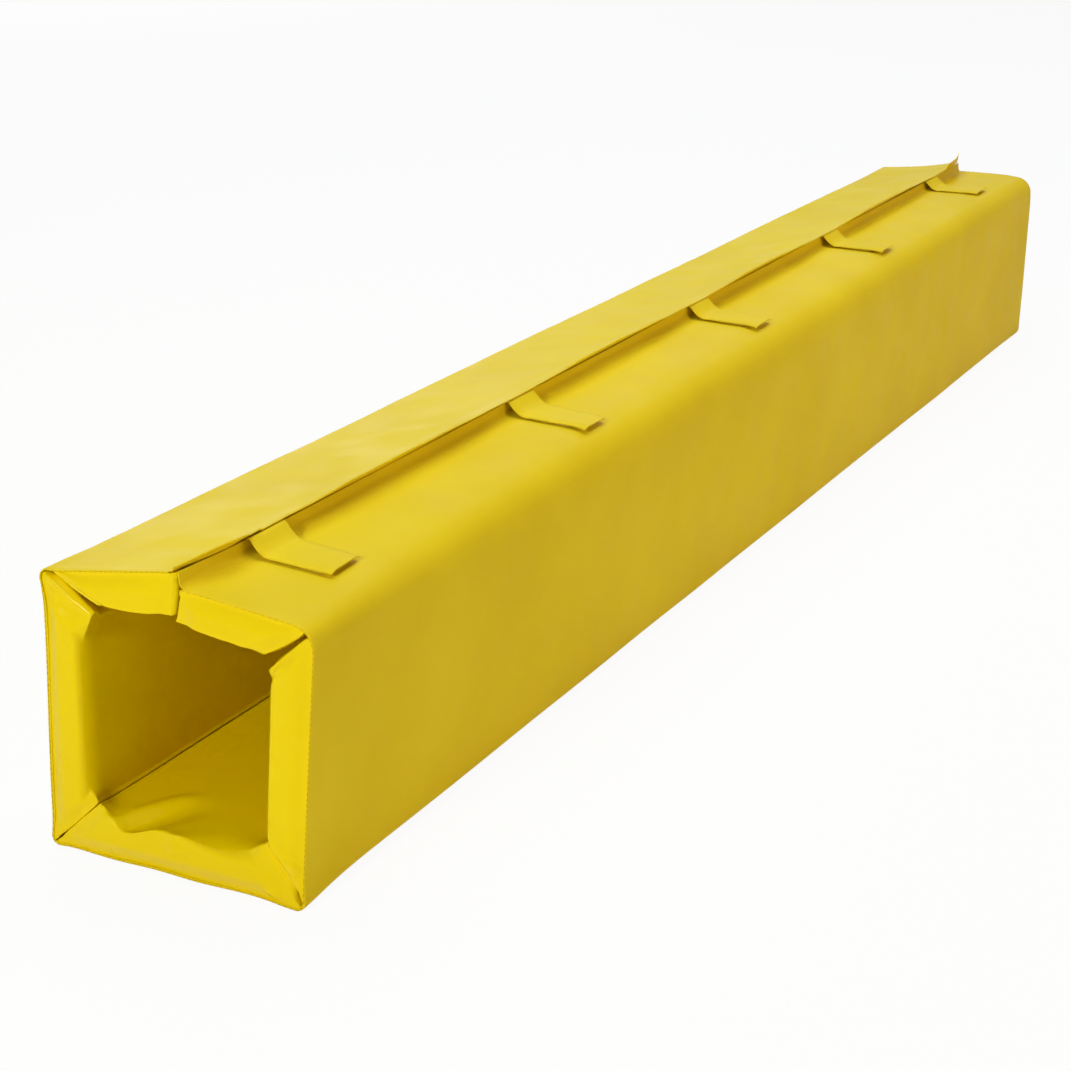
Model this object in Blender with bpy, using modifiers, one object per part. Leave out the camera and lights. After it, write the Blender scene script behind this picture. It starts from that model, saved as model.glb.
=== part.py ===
"""A column pad: five foam panels in vinyl covers, folded into a square sleeve and strapped shut.

The pad lies on its bottom panel. +Y runs along it, +X across it and +Z up, and the origin is the
middle of the bottom panel's outer face. Each panel is modelled closed and square about its own fold
axis, and takes its resting lean from the empty that stands on that axis.
"""

import math

import bmesh
import bpy
from mathutils import Matrix, Vector

# Overall sizes, in metres
LENGTH = 2.0
WIDTH = 0.240
HEIGHT = 0.240
PANEL_THICKNESS = 0.040

# Cloth, and the clearance between two pieces that touch
VINYL = 0.001
GAP = 0.0003

# Long corners: the skin's outer fold, and the covers' mitres inside it
FOLD_RADIUS = 0.018
MITRE_RELIEF = 0.0012
SHOULDER_DEPTH = 0.0065

# Resting lean of each panel from the closed square, in degrees
LEFT_LEAN_IN = 1.4
RIGHT_LEAN_OUT = 3.0
TOP_LEFT_TILT = 9.0
TOP_RIGHT_TILT = 3.5

# Padded form of the covers
CROWN = 0.004
FLAT_SHARE = 0.34
END_BULGE = 0.003
PUCKER_HEIGHT = 0.005
PUCKER_LENGTH = 0.055
PUCKER_PLACE = 0.34
PUCKER_FROM_END = 0.065
COVER_ROUNDING = 0.007
FOAM_CHAMFER = 0.005

# Shallow ripples across the top left skin
RIPPLE_HEIGHT = 0.0012
RIPPLE_PITCH = 0.31
RIPPLE_SLANT = 2.5

# Seam along the top
SEAM_X = 0.0095
SEAM_GAP = 0.009

# Lip that overhangs the seam
LIP_OVERHANG = 0.020
LIP_THICKNESS = 0.0015
LIP_END_OVERHANG = 0.006
LIP_END_TAPER = 0.070
LIP_FLARE = 0.004
LIP_PULL = 0.0055
LIP_PULL_LENGTH = 0.060

# Flap that stands up under the lip
FLAP_FOOT = 0.006
FLAP_BEHIND_STRAP = 0.0013
FLAP_RADIUS = 0.008
FLAP_CLEARANCE = 0.001
FLAP_TURN_SHARE = 0.95

# Straps, and the hook and loop patches under them
STRAP_COUNT = 5
STRAP_WIDTH = 0.050
STRAP_THICKNESS = 0.0012
STRAP_REACH = 0.075
STRAP_ROOT = 0.006
STRAP_DROP = 0.020
STRAP_TIP_LENGTH = 0.016
STRAP_TIP_LIFT = 0.003
STRAP_FROM_NEAR_END = 0.120
STRAP_FROM_FAR_END = 0.160
PATCH_WIDTH = 0.044
PATCH_LENGTH = 0.038
PATCH_THICKNESS = 0.0013

# Linear colour and roughness of each material
SKIN_VINYL = ((0.80, 0.62, 0.03), 0.45)
COVER_VINYL = ((0.84, 0.66, 0.01), 0.25)
FOAM = ((0.80, 0.78, 0.70), 0.90)
HOOK_AND_LOOP = ((0.70, 0.66, 0.50), 0.95)

# Where a cover's mesh is cut, as shares of its width, its length and its depth
COVER_ACROSS = (0.0, 0.14, 0.34, 0.66, 0.86, 1.0)
COVER_ALONG = (0.0, 0.012, 0.06, 0.35, 0.65, 0.94, 0.988, 1.0)
COVER_MID_DEPTHS = (0.35, 0.65)
PUCKER_STEPS = (-1.0, 0.0, 1.0, 2.0)

# How finely the rest is cut
ROUNDING_SEGMENTS = 2
SHARP_ANGLE = math.radians(35)
FOLD_STEPS = 7
RIPPLE_ACROSS_STEPS = 4
RIPPLE_ALONG_STEPS = 26
LIP_STEPS = 3
LIP_END_STEPS = 4
LIP_PULL_STEPS = (-1.4, -1.05, -0.7, 0.0, 0.7, 1.05, 1.4)
FLAP_TURN_STEPS = 5
STRAP_DROP_STEPS = 5

# Worked out from the sizes above
AXIS_INSET = FOLD_RADIUS * (1 - math.pi / 4)
COVER_START = VINYL + GAP
SKIN_LENGTH = LENGTH - 2 * END_BULGE
SKIN_END = SKIN_LENGTH / 2
LEFT_ANGLE = math.radians(LEFT_LEAN_IN)
RIGHT_ANGLE = math.radians(RIGHT_LEAN_OUT)
TOP_LEFT_ANGLE = -math.radians(TOP_LEFT_TILT)
TOP_RIGHT_ANGLE = math.radians(TOP_RIGHT_TILT)
STRAP_HINGE_X = SEAM_X + GAP + LIP_OVERHANG


def remove_everything():
    for item in list(bpy.data.objects):
        bpy.data.objects.remove(item, do_unlink=True)


def new_collection(name):
    collection = bpy.data.collections.new(name)
    bpy.context.scene.collection.children.link(collection)
    return collection


def make_material(name, look):
    colour, roughness = look
    material = bpy.data.materials.new(name)
    material.use_nodes = True
    shader = material.node_tree.nodes["Principled BSDF"]
    shader.inputs["Base Color"].default_value = (*colour, 1.0)
    shader.inputs["Roughness"].default_value = roughness
    shader.inputs["Metallic"].default_value = 0.0
    return material


remove_everything()
PAD = new_collection("column_pad")


def turned(x, z, angle):
    """A point of the cross-section, turned about the length axis by an angle."""
    return x * math.cos(angle) + z * math.sin(angle), z * math.cos(angle) - x * math.sin(angle)


def add_object(name, mesh, carrier, look):
    piece = bpy.data.objects.new(name, mesh)
    mesh.materials.append(make_material(name + "_material", look))
    PAD.objects.link(piece)
    piece.parent = carrier
    return piece


def fold_axis(name, carrier, x, z, angle):
    """An empty on a fold's axis, which carries the panel that turns there."""
    axis = bpy.data.objects.new(name, None)
    axis.empty_display_size = 0.05
    PAD.objects.link(axis)
    axis.parent = carrier
    axis.location = (x, 0.0, z)
    axis.rotation_euler = (0.0, angle, 0.0)
    return axis


# Where each fold's axis stands at rest, as seen along the pad
FOLD_HEIGHT = HEIGHT - 2 * AXIS_INSET
FOLD_HALF_WIDTH = WIDTH / 2 - AXIS_INSET
LEFT_TURN = turned(0.0, FOLD_HEIGHT, LEFT_ANGLE)
RIGHT_TURN = turned(0.0, FOLD_HEIGHT, RIGHT_ANGLE)
TOP_LEFT_AXIS = (LEFT_TURN[0] - FOLD_HALF_WIDTH, LEFT_TURN[1] + AXIS_INSET)
TOP_RIGHT_AXIS = (RIGHT_TURN[0] + FOLD_HALF_WIDTH, RIGHT_TURN[1] + AXIS_INSET)

LEFT_FOLD = fold_axis("left_fold", None, -FOLD_HALF_WIDTH, AXIS_INSET, LEFT_ANGLE)
RIGHT_FOLD = fold_axis("right_fold", None, FOLD_HALF_WIDTH, AXIS_INSET, RIGHT_ANGLE)
TOP_LEFT_FOLD = fold_axis("top_left_fold", LEFT_FOLD, 0.0, FOLD_HEIGHT, TOP_LEFT_ANGLE - LEFT_ANGLE)
TOP_RIGHT_FOLD = fold_axis("top_right_fold", RIGHT_FOLD, 0.0, FOLD_HEIGHT, TOP_RIGHT_ANGLE - RIGHT_ANGLE)


def half_width(axis_x, seam_x, tilt):
    """Width of a top panel whose outer seam edge lies at seam_x when it is tilted."""
    reach = abs(axis_x - seam_x)
    return AXIS_INSET + (reach + AXIS_INSET * math.sin(abs(tilt))) / math.cos(tilt)


TOP_LEFT_WIDTH = half_width(TOP_LEFT_AXIS[0], SEAM_X, TOP_LEFT_ANGLE)
TOP_RIGHT_WIDTH = half_width(TOP_RIGHT_AXIS[0], SEAM_X + SEAM_GAP, TOP_RIGHT_ANGLE)
FLAP_SEAM_X = SEAM_X + SEAM_GAP
SEAM_TOP = TOP_LEFT_AXIS[1] + turned(TOP_LEFT_WIDTH - AXIS_INSET, AXIS_INSET, TOP_LEFT_ANGLE)[1]
FLAP_SEAM_TOP = TOP_RIGHT_AXIS[1] + turned(AXIS_INSET - TOP_RIGHT_WIDTH, AXIS_INSET, TOP_RIGHT_ANGLE)[1]


class Panel:
    """One panel's outline. A point in it is across from its folded edge, along, and deep from outside."""

    def __init__(self, name, carrier, width, corner, across, inward, seam_slope=None):
        self.name = name
        self.carrier = carrier
        self.width = width
        self.corner = Vector(corner)
        self.across = Vector(across)
        self.inward = Vector(inward)
        self.seam_slope = seam_slope

    def place(self, across, along, depth):
        return self.corner + across * self.across + depth * self.inward + Vector((0, along, 0))

    def far_inset(self, depth):
        if self.seam_slope is None:
            return mitre_inset(depth)
        return depth * self.seam_slope

    def skin_edges(self):
        far = self.width - (FOLD_RADIUS if self.seam_slope is None else 0.0)
        return FOLD_RADIUS, far


def mitre_inset(depth):
    """How far a cover's mitred side stands back from the corner line, at a depth."""
    shoulder = SHOULDER_DEPTH + MITRE_RELIEF * math.sqrt(2)
    if depth >= SHOULDER_DEPTH:
        return depth + MITRE_RELIEF * math.sqrt(2)
    share = (depth - COVER_START) / (SHOULDER_DEPTH - COVER_START)
    return FOLD_RADIUS + (shoulder - FOLD_RADIUS) * share


HINGED = -AXIS_INSET
PANELS = {
    "bottom": Panel("bottom", None, WIDTH, (-WIDTH / 2, 0, 0), (1, 0, 0), (0, 0, 1)),
    "left": Panel("left", LEFT_FOLD, HEIGHT, (HINGED, 0, HINGED), (0, 0, 1), (1, 0, 0)),
    "right": Panel("right", RIGHT_FOLD, HEIGHT, (-HINGED, 0, HINGED), (0, 0, 1), (-1, 0, 0)),
    "top_left": Panel("top_left", TOP_LEFT_FOLD, TOP_LEFT_WIDTH, (HINGED, 0, -HINGED),
                      (1, 0, 0), (0, 0, -1), math.tan(-TOP_LEFT_ANGLE)),
    "top_right": Panel("top_right", TOP_RIGHT_FOLD, TOP_RIGHT_WIDTH, (-HINGED, 0, -HINGED),
                       (-1, 0, 0), (0, 0, -1), 0.0),
}


def face_towards(mesh_data, direction):
    """Turn an open sheet over if its faces point away from a direction."""
    mesh_data.normal_update()
    total = sum((face.normal * face.calc_area() for face in mesh_data.faces), Vector())
    if total.dot(direction) < 0:
        bmesh.ops.reverse_faces(mesh_data, faces=mesh_data.faces)


def finish_mesh(mesh_data, name):
    mesh = bpy.data.meshes.new(name)
    mesh_data.to_mesh(mesh)
    mesh_data.free()
    return mesh


def thicken(piece, thickness, even=True):
    """Give an open sheet its thickness, behind the side that its faces point to."""
    solidify = piece.modifiers.new("thickness", "SOLIDIFY")
    solidify.thickness = thickness
    solidify.offset = -1.0
    solidify.use_even_offset = even
    solidify.use_quality_normals = True


def formed_sheet(name, carrier, across, along, place, outward, thickness):
    """A grid of skin vinyl: place(s, y) gives a point for each station across and along."""
    sheet = bmesh.new()
    bmesh.ops.create_grid(sheet, x_segments=len(across) - 1, y_segments=len(along) - 1, size=0.5)
    for vertex in sheet.verts:
        column = round((vertex.co.x + 0.5) * (len(across) - 1))
        row = round((vertex.co.y + 0.5) * (len(along) - 1))
        vertex.co = place(across[column], along[row])
    face_towards(sheet, Vector(outward))
    mesh = finish_mesh(sheet, name)
    mesh.shade_smooth()
    piece = add_object(name, mesh, carrier, SKIN_VINYL)
    thicken(piece, thickness)
    return piece


def spread(count, low=0.0, high=1.0):
    return [low + (high - low) * n / count for n in range(count + 1)]


def dome(share):
    """1 over the flat middle of a side, falling to 0 at its two edges."""
    past_flat = max(0.0, abs(2.0 * share - 1.0) - FLAT_SHARE)
    return 1.0 - (past_flat / (1.0 - FLAT_SHARE)) ** 2


def pucker(share_across, y):
    """Height of the swell where the bottom cover bunches up behind its near end."""
    across = (share_across - PUCKER_PLACE) * WIDTH / PUCKER_LENGTH
    along = (y + LENGTH / 2 - PUCKER_FROM_END) / PUCKER_LENGTH
    return PUCKER_HEIGHT * math.exp(-across * across - along * along)


def gridded_box(across, along, deep):
    """A unit cube cut across at each station between its two sides, in all three directions."""
    box = bmesh.new()
    bmesh.ops.create_cube(box, size=1.0, matrix=Matrix.Translation((0.5, 0.5, 0.5)))
    for axis, stations in enumerate((across, along, deep)):
        normal = Vector([1.0 if n == axis else 0.0 for n in range(3)])
        for station in stations[1:-1]:
            everything = box.verts[:] + box.edges[:] + box.faces[:]
            bmesh.ops.bisect_plane(box, geom=everything, plane_co=normal * station, plane_no=normal)
    return box


def is_low(share):
    return share < 0.001


def is_high(share):
    return share > 0.999


def share_of_depth(depth, start, end):
    return (depth - start) / (end - start)


def end_position(share_along, bulge):
    """Where a cover's end face stands: the middle of the face bulges past its edges."""
    side = -1.0 if is_low(share_along) else 1.0
    return side * (SKIN_END + END_BULGE * bulge)


def pucker_stations():
    """Shares of the width and of the length at which the pucker's swell is cut."""
    reach = [step * PUCKER_LENGTH / 2 for step in PUCKER_STEPS]
    across = [PUCKER_PLACE + step / WIDTH for step in reach]
    along = [(PUCKER_FROM_END + step) / LENGTH for step in reach]
    return across, along


def merged(*station_lists):
    """All the stations in order, those that all but meet counted once."""
    return sorted({round(share, 3) for stations in station_lists for share in stations})


def make_cover(panel):
    """The boxed vinyl tray that holds the foam: crowned face, mitred sides and bulging ends."""
    puckered = panel is PANELS["bottom"]
    extra_across, extra_along = pucker_stations() if puckered else ([], [])
    shoulder = share_of_depth(SHOULDER_DEPTH, COVER_START, PANEL_THICKNESS)
    depths = [0.0, shoulder, *COVER_MID_DEPTHS, 1.0]
    tray = gridded_box(merged(COVER_ACROSS, extra_across), merged(COVER_ALONG, extra_along), depths)
    open_side = [face for face in tray.faces if is_low(face.calc_center_median().z)]
    bmesh.ops.delete(tray, geom=open_side, context="FACES")
    for vertex in tray.verts:
        across, along, deep = vertex.co
        on_face = is_high(deep)
        at_end = is_low(along) or is_high(along)
        depth = COVER_START + deep * (PANEL_THICKNESS - COVER_START)
        if on_face:
            depth -= CROWN * (1.0 - dome(across) * dome(along))
        near = mitre_inset(depth)
        far = panel.width - panel.far_inset(depth)
        y = (2.0 * along - 1.0) * SKIN_END
        if at_end:
            y = end_position(along, dome(across) * dome(deep))
        elif on_face and puckered:
            depth += pucker(across, y)
        vertex.co = panel.place(near + across * (far - near), y, depth)
    face_towards(tray, panel.inward)
    mesh = finish_mesh(tray, panel.name + "_cover")
    mesh.shade_smooth()
    cover = add_object(panel.name + "_cover", mesh, panel.carrier, COVER_VINYL)
    bevel = cover.modifiers.new("soft_edges", "BEVEL")
    bevel.width = COVER_ROUNDING
    bevel.segments = ROUNDING_SEGMENTS
    bevel.limit_method = "ANGLE"
    bevel.angle_limit = SHARP_ANGLE
    thicken(cover, VINYL, even=False)


def make_foam(panel):
    """The foam core: a block that fills the cover up to the edge of its crown."""
    start = VINYL + GAP
    end = PANEL_THICKNESS - CROWN - VINYL - GAP
    inset = VINYL + 2 * GAP
    shoulder = share_of_depth(SHOULDER_DEPTH + inset, start, end)
    block = gridded_box([0.0, 1.0], [0.0, 1.0], [0.0, shoulder, 1.0])
    for vertex in block.verts:
        across, along, deep = vertex.co
        depth = start + deep * (end - start)
        near = mitre_inset(depth) + inset * math.sqrt(2)
        far = panel.width - panel.far_inset(depth) - inset * math.sqrt(2)
        y = (2.0 * along - 1.0) * (SKIN_END - inset)
        vertex.co = panel.place(near + across * (far - near), y, depth)
    if block.calc_volume(signed=True) < 0:
        bmesh.ops.reverse_faces(block, faces=block.faces)
    mesh = finish_mesh(block, panel.name + "_foam")
    foam = add_object(panel.name + "_foam", mesh, panel.carrier, FOAM)
    chamfer = foam.modifiers.new("cut_edges", "BEVEL")
    chamfer.width = FOAM_CHAMFER
    chamfer.segments = 1
    chamfer.limit_method = "ANGLE"
    chamfer.angle_limit = SHARP_ANGLE


def ripple(share_across, y):
    """Height of the shallow diagonal ripples in a skin, which die out at its edges."""
    wave = 0.5 + 0.5 * math.sin(2 * math.pi * y / RIPPLE_PITCH + RIPPLE_SLANT * share_across)
    return RIPPLE_HEIGHT * wave * dome(share_across) * dome(0.5 + y / SKIN_LENGTH)


def make_skin(panel, rippled):
    """The flat stretch of the outer skin over one panel."""
    first, last = panel.skin_edges()
    across = spread(RIPPLE_ACROSS_STEPS if rippled else 1)
    along = spread(RIPPLE_ALONG_STEPS if rippled else 1, -SKIN_END, SKIN_END)

    def place(share, y):
        lift = ripple(share, y) if rippled else 0.0
        return panel.place(first + share * (last - first), y, -lift)

    formed_sheet(panel.name + "_skin", panel.carrier, across, along, place,
                 -panel.inward, VINYL)


def corner_state(panel, share_far):
    """World cross-section point at a skin's end, and the direction in which the skin leaves it there."""
    edges = panel.skin_edges()
    across = edges[1] if share_far else edges[0]
    sign = 1.0 if share_far else -1.0
    matrix = panel.carrier.matrix_world if panel.carrier else Matrix.Identity(4)
    point = matrix @ panel.place(across, 0.0, 0.0)
    direction = (matrix.to_3x3() @ panel.across) * sign
    return point, direction.normalized()


def make_fold(name, carrier, first, second):
    """The strip of skin that turns round a long corner, from one panel's skin to the next."""
    (a, a_way), (b, b_way) = first, second
    turn = a_way.angle(-b_way)
    handle = 4.0 / 3.0 * math.tan(turn / 4.0) * FOLD_RADIUS
    start = a + a_way * GAP
    end = b + b_way * GAP
    control = [start, start + a_way * handle, end + b_way * handle, end]

    def place(s, y):
        weights = [(1 - s) ** 3, 3 * s * (1 - s) ** 2, 3 * s * s * (1 - s), s ** 3]
        point = sum((w * c for w, c in zip(weights, control)), Vector())
        return Vector((point.x, y, point.z))

    strip = formed_sheet(name, carrier, spread(FOLD_STEPS), [-SKIN_END, SKIN_END], place,
                         a_way + b_way, VINYL)
    keep_in_world(strip)


def keep_in_world(piece):
    """Let a carried piece keep coordinates that were worked out in the world."""
    if piece.parent:
        piece.matrix_parent_inverse = piece.parent.matrix_world.inverted()


def strap_places():
    first = STRAP_FROM_NEAR_END - LENGTH / 2
    last = LENGTH / 2 - STRAP_FROM_FAR_END
    return spread(STRAP_COUNT - 1, first, last)


def strap_pull(y):
    """1 where a strap draws the lip down, falling to 0 between the straps."""
    return max(math.exp(-((y - place) / LIP_PULL_LENGTH) ** 4) for place in strap_places())


def lip_reach(y):
    """How far the lip overhangs: it is cut back towards the pad's two ends."""
    from_end = min(1.0, (SKIN_END - abs(y)) / LIP_END_TAPER)
    return LIP_END_OVERHANG + (LIP_OVERHANG - LIP_END_OVERHANG) * math.sin(from_end * math.pi / 2)


def lip_top(reach, y):
    """Height of the lip's upper side at a distance past the seam."""
    rise = LIP_FLARE - (LIP_FLARE + LIP_PULL) * strap_pull(y)
    return SEAM_TOP + reach * math.tan(-TOP_LEFT_ANGLE) + rise * (reach / LIP_OVERHANG) ** 2


def lip_stations():
    """Stations along the lip: close together where it tapers and dips, wider between."""
    stations = spread(LIP_END_STEPS, -SKIN_END, LIP_END_TAPER - SKIN_END)
    stations += spread(LIP_END_STEPS, SKIN_END - LIP_END_TAPER, SKIN_END)
    for place in strap_places():
        stations += [place + step * LIP_PULL_LENGTH for step in LIP_PULL_STEPS]
    return sorted(y for y in set(stations) if abs(y) <= SKIN_END)


def make_lip():
    """The skin's edge past the seam: it flares up, and each strap draws it down."""

    def place(share, y):
        reach = share * lip_reach(y)
        return Vector((SEAM_X + GAP + reach, y, lip_top(reach, y)))

    lip = formed_sheet("closure_lip", TOP_LEFT_FOLD, spread(LIP_STEPS), lip_stations(), place,
                       (0, 0, 1), LIP_THICKNESS)
    keep_in_world(lip)


def right_top(x):
    """Height of the top right panel's outer face at x."""
    return FLAP_SEAM_TOP - (x - FLAP_SEAM_X) * math.tan(TOP_RIGHT_ANGLE)


def make_flap():
    """The underlap: sewn to the top right skin near the seam, it curves up to stand under the lip."""
    stand_x = STRAP_HINGE_X - STRAP_ROOT - FLAP_BEHIND_STRAP

    def ceiling(y):
        return lip_top(stand_x - SEAM_X - GAP, y) - LIP_THICKNESS - FLAP_CLEARANCE

    def foot(x):
        return right_top(x) + GAP + VINYL

    room = min(ceiling(y) for y in strap_places()) - foot(stand_x)
    radius = min(FLAP_RADIUS, FLAP_TURN_SHARE * room)
    bend_x = stand_x + radius

    def place(step, y):
        if step == 0:
            return Vector((bend_x + FLAP_FOOT, y, foot(bend_x + FLAP_FOOT)))
        if step <= FLAP_TURN_STEPS + 1:
            angle = math.pi / 2 * (step - 1) / FLAP_TURN_STEPS
            rise = radius * (1 - math.cos(angle))
            return Vector((bend_x - radius * math.sin(angle), y, foot(bend_x) + rise))
        return Vector((stand_x, y, ceiling(y)))

    flap = formed_sheet("underlap_flap", TOP_RIGHT_FOLD, range(FLAP_TURN_STEPS + 3), lip_stations(),
                        place, (1, 0, 1), VINYL)
    keep_in_world(flap)


# Straps lie on two patches, and the stack of all three sets their height over the top right panel
PATCH_STEP = PATCH_THICKNESS + GAP
STRAP_FLOAT = 2 * PATCH_STEP + GAP + STRAP_THICKNESS
STRAP_TIP_X = STRAP_HINGE_X + STRAP_REACH
PATCH_X = STRAP_HINGE_X + STRAP_DROP + (STRAP_REACH - STRAP_DROP - STRAP_TIP_LENGTH) / 2


def strap_top(x, y):
    """Height of a strap's upper side: under the lip, down the drop, flat, then lifted at the tip."""
    flat = right_top(x) + STRAP_FLOAT / math.cos(TOP_RIGHT_ANGLE)
    reach = min(x - SEAM_X - GAP, LIP_OVERHANG)
    root = lip_top(reach, y) - LIP_THICKNESS - GAP
    fall = min(1.0, max(0.0, (x - STRAP_HINGE_X) / STRAP_DROP))
    fall = fall * fall * (3 - 2 * fall)
    tip = max(0.0, (x - STRAP_TIP_X + STRAP_TIP_LENGTH) / STRAP_TIP_LENGTH)
    return root + (flat - root) * fall + STRAP_TIP_LIFT * tip ** 2


def make_patch(name, carrier, y, layer):
    """A flat hook or loop patch, a number of layers above the top right panel."""
    patch = bmesh.new()
    size = Matrix.Diagonal((PATCH_LENGTH, PATCH_WIDTH, PATCH_THICKNESS, 1.0))
    bmesh.ops.create_cube(patch, size=1.0, matrix=size)
    piece = add_object(name, finish_mesh(patch, name), carrier, HOOK_AND_LOOP)
    height = GAP + PATCH_THICKNESS / 2 + layer * PATCH_STEP
    across = height * math.sin(TOP_RIGHT_ANGLE)
    piece.location = (PATCH_X + across, y, right_top(PATCH_X) + height * math.cos(TOP_RIGHT_ANGLE))
    piece.rotation_euler = (0.0, TOP_RIGHT_ANGLE, 0.0)
    keep_in_world(piece)


def make_strap(number, y):
    """One closing strap with its hook patch, turning about the lip's edge, and the loop patch below."""
    hinge_z = strap_top(STRAP_HINGE_X, y) - STRAP_THICKNESS / 2
    axis = fold_axis(f"strap_axis_{number}", TOP_LEFT_FOLD, STRAP_HINGE_X, hinge_z, 0.0)
    axis.location.y = y
    keep_in_world(axis)
    bpy.context.view_layer.update()
    stations = [STRAP_HINGE_X - STRAP_ROOT]
    stations += spread(STRAP_DROP_STEPS, STRAP_HINGE_X, STRAP_HINGE_X + STRAP_DROP)
    stations += [STRAP_TIP_X - STRAP_TIP_LENGTH, STRAP_TIP_X - STRAP_TIP_LENGTH / 2, STRAP_TIP_X]
    edges = [y - STRAP_WIDTH / 2, y + STRAP_WIDTH / 2]
    strap = formed_sheet(f"strap_{number}", axis, stations, edges,
                         lambda x, edge: Vector((x, edge, strap_top(x, y))),
                         (0, 0, 1), STRAP_THICKNESS)
    keep_in_world(strap)
    make_patch(f"hook_patch_{number}", axis, y, 1)
    make_patch(f"loop_patch_{number}", TOP_RIGHT_FOLD, y, 0)


def main():
    bpy.context.view_layer.update()
    for panel in PANELS.values():
        make_cover(panel)
        make_foam(panel)
        make_skin(panel, rippled=panel is PANELS["top_left"])
    folds = {
        "fold_bottom_left": (None, ("bottom", False), ("left", False)),
        "fold_bottom_right": (None, ("bottom", True), ("right", False)),
        "fold_top_left": (LEFT_FOLD, ("left", True), ("top_left", False)),
        "fold_top_right": (RIGHT_FOLD, ("right", True), ("top_right", False)),
    }
    for name, (carrier, first, second) in folds.items():
        ends = [corner_state(PANELS[panel], far) for panel, far in (first, second)]
        make_fold(name, carrier, *ends)
    make_lip()
    make_flap()
    for number, y in enumerate(strap_places(), start=1):
        make_strap(number, y)


main()
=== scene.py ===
import math

import bmesh
import bpy
import numpy as np
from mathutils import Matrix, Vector, noise


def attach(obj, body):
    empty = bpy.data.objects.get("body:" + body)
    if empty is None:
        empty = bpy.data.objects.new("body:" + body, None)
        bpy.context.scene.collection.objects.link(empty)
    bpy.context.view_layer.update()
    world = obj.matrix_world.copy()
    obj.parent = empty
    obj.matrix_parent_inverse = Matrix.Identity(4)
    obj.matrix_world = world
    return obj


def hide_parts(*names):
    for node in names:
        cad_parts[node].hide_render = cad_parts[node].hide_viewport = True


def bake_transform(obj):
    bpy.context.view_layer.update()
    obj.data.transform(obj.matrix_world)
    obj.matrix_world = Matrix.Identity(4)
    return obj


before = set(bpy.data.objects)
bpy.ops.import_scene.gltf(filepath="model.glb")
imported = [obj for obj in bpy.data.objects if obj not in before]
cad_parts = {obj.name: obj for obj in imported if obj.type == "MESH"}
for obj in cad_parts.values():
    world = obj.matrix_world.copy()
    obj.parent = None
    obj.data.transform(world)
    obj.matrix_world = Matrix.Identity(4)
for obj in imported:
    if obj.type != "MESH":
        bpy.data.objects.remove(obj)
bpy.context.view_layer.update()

# Sizes of the pad in metres and degrees
LENGTH = 2.0
WIDTH = 0.240
PANEL_THICKNESS = 0.040
VINYL = 0.001
GAP = 0.0003
SKIN_END = LENGTH / 2
FOLD_RADIUS = 0.009
SHOULDER_RADIUS = 0.022
LEFT_LEAN = 1.4
RIGHT_LEAN = 3.0
TOP_LEFT_TILT = -9.0
TOP_RIGHT_TILT = 3.5
SEAM_X = 0.0095
FLAP_SEAM_X = 0.0185

# The hinge axes lie inside the square's corners, by what a fold strip of this radius needs to lie flat
HINGED_FOLD_RADIUS = 0.018
AXIS_INSET = round(HINGED_FOLD_RADIUS * (1 - math.pi / 4), 7)

# Lip and underlap
LIP_OVERHANG = 0.020
LIP_THICKNESS = 0.0015
LIP_NEAR_OVERHANG = 0.0015
LIP_NEAR_CURVE = 1.3
LIP_END_OVERHANG = 0.006
LIP_END_TAPER = 0.070
LIP_SET_BACK = 0.0035
LIP_SET_BACK_END = 0.9
LIP_SET_BACK_ARCH = 0.6
LIP_SET_BACK_START = 0.5
LIP_ARCH = 0.0098
LIP_EDGE_WAVE = 0.0004
LIP_EDGE_PITCH = 71.0
LIP_REST = 0.62
LIP_CURL = 1.4
LIP_LIFT = 0.0008
LIP_LIFT_REACH = 0.010
LIP_NEAR_CALM = 0.75
LIP_NEAR_CALM_START = 0.92
LIP_NEAR_LIFT = 0.0032
LIP_NEAR_LIFT_LENGTH = 0.05
LIP_FAR_LIFT = 0.0042
LIP_FAR_LIFT_START = 0.90
LIP_COLUMNS = 16
ARCH_SKEW = 0.74
ARCH_MARGIN = 0.004
ARCH_PAST_NEAR_END = 0.03
ARCH_PAST_FAR_END = 0.10
FLAP_X = 0.0225
FLAP_RADIUS = 0.0075
FLAP_SWING = 0.003
FLAP_SWING_CURVE = 1.5
FLAP_END_RADIUS = 0.0038
FLAP_END_LENGTH = 0.055
FLAP_CLEARANCE = 0.0016
FLAP_TOP = 0.2586
FLAP_LEAN = 0.0006
FLAP_LEAST = 0.002
FLAP_TURN_STEPS = 8

# Straps and their patches
STRAP_PLACES = [-0.891, -0.458, -0.025, 0.408, 0.838]
STRAP_REACHES = [0.066, 0.078, 0.077, 0.076, 0.072]
STRAP_REACH = 0.075
STRAP_WIDTH = 0.050
STRAP_THICKNESS = 0.0012
STRAP_HINGE_X = SEAM_X + GAP + LIP_OVERHANG
STRAP_TIP_X = STRAP_HINGE_X + STRAP_REACH
STRAP_ROOT = 0.006
STRAP_TAPER = 0.15
STRAP_FALL_START = 0.0262
STRAP_FALL_END = 0.0470
STRAP_FALL_CURVE = 2.3
STRAP_TIP_LENGTH = 0.036
STRAP_TIP_LIFT = 0.0014
STRAP_TIP_CURVE = 1.5
STRAP_EDGE_SAG = 0.0016
STRAP_BACK_SAG = 0.0010
STRAP_BACK_LENGTH = 0.012
STRAP_CUTS = (46, 21)
PATCH_X = 0.0693
PATCH_WIDTH = 0.040
PATCH_LENGTH = 0.038
PATCH_THICKNESS = 0.0013
PATCH_CORNER = 0.16
PATCH_CUTS = 25
PATCH_START = PATCH_X - PATCH_LENGTH / 2
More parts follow.
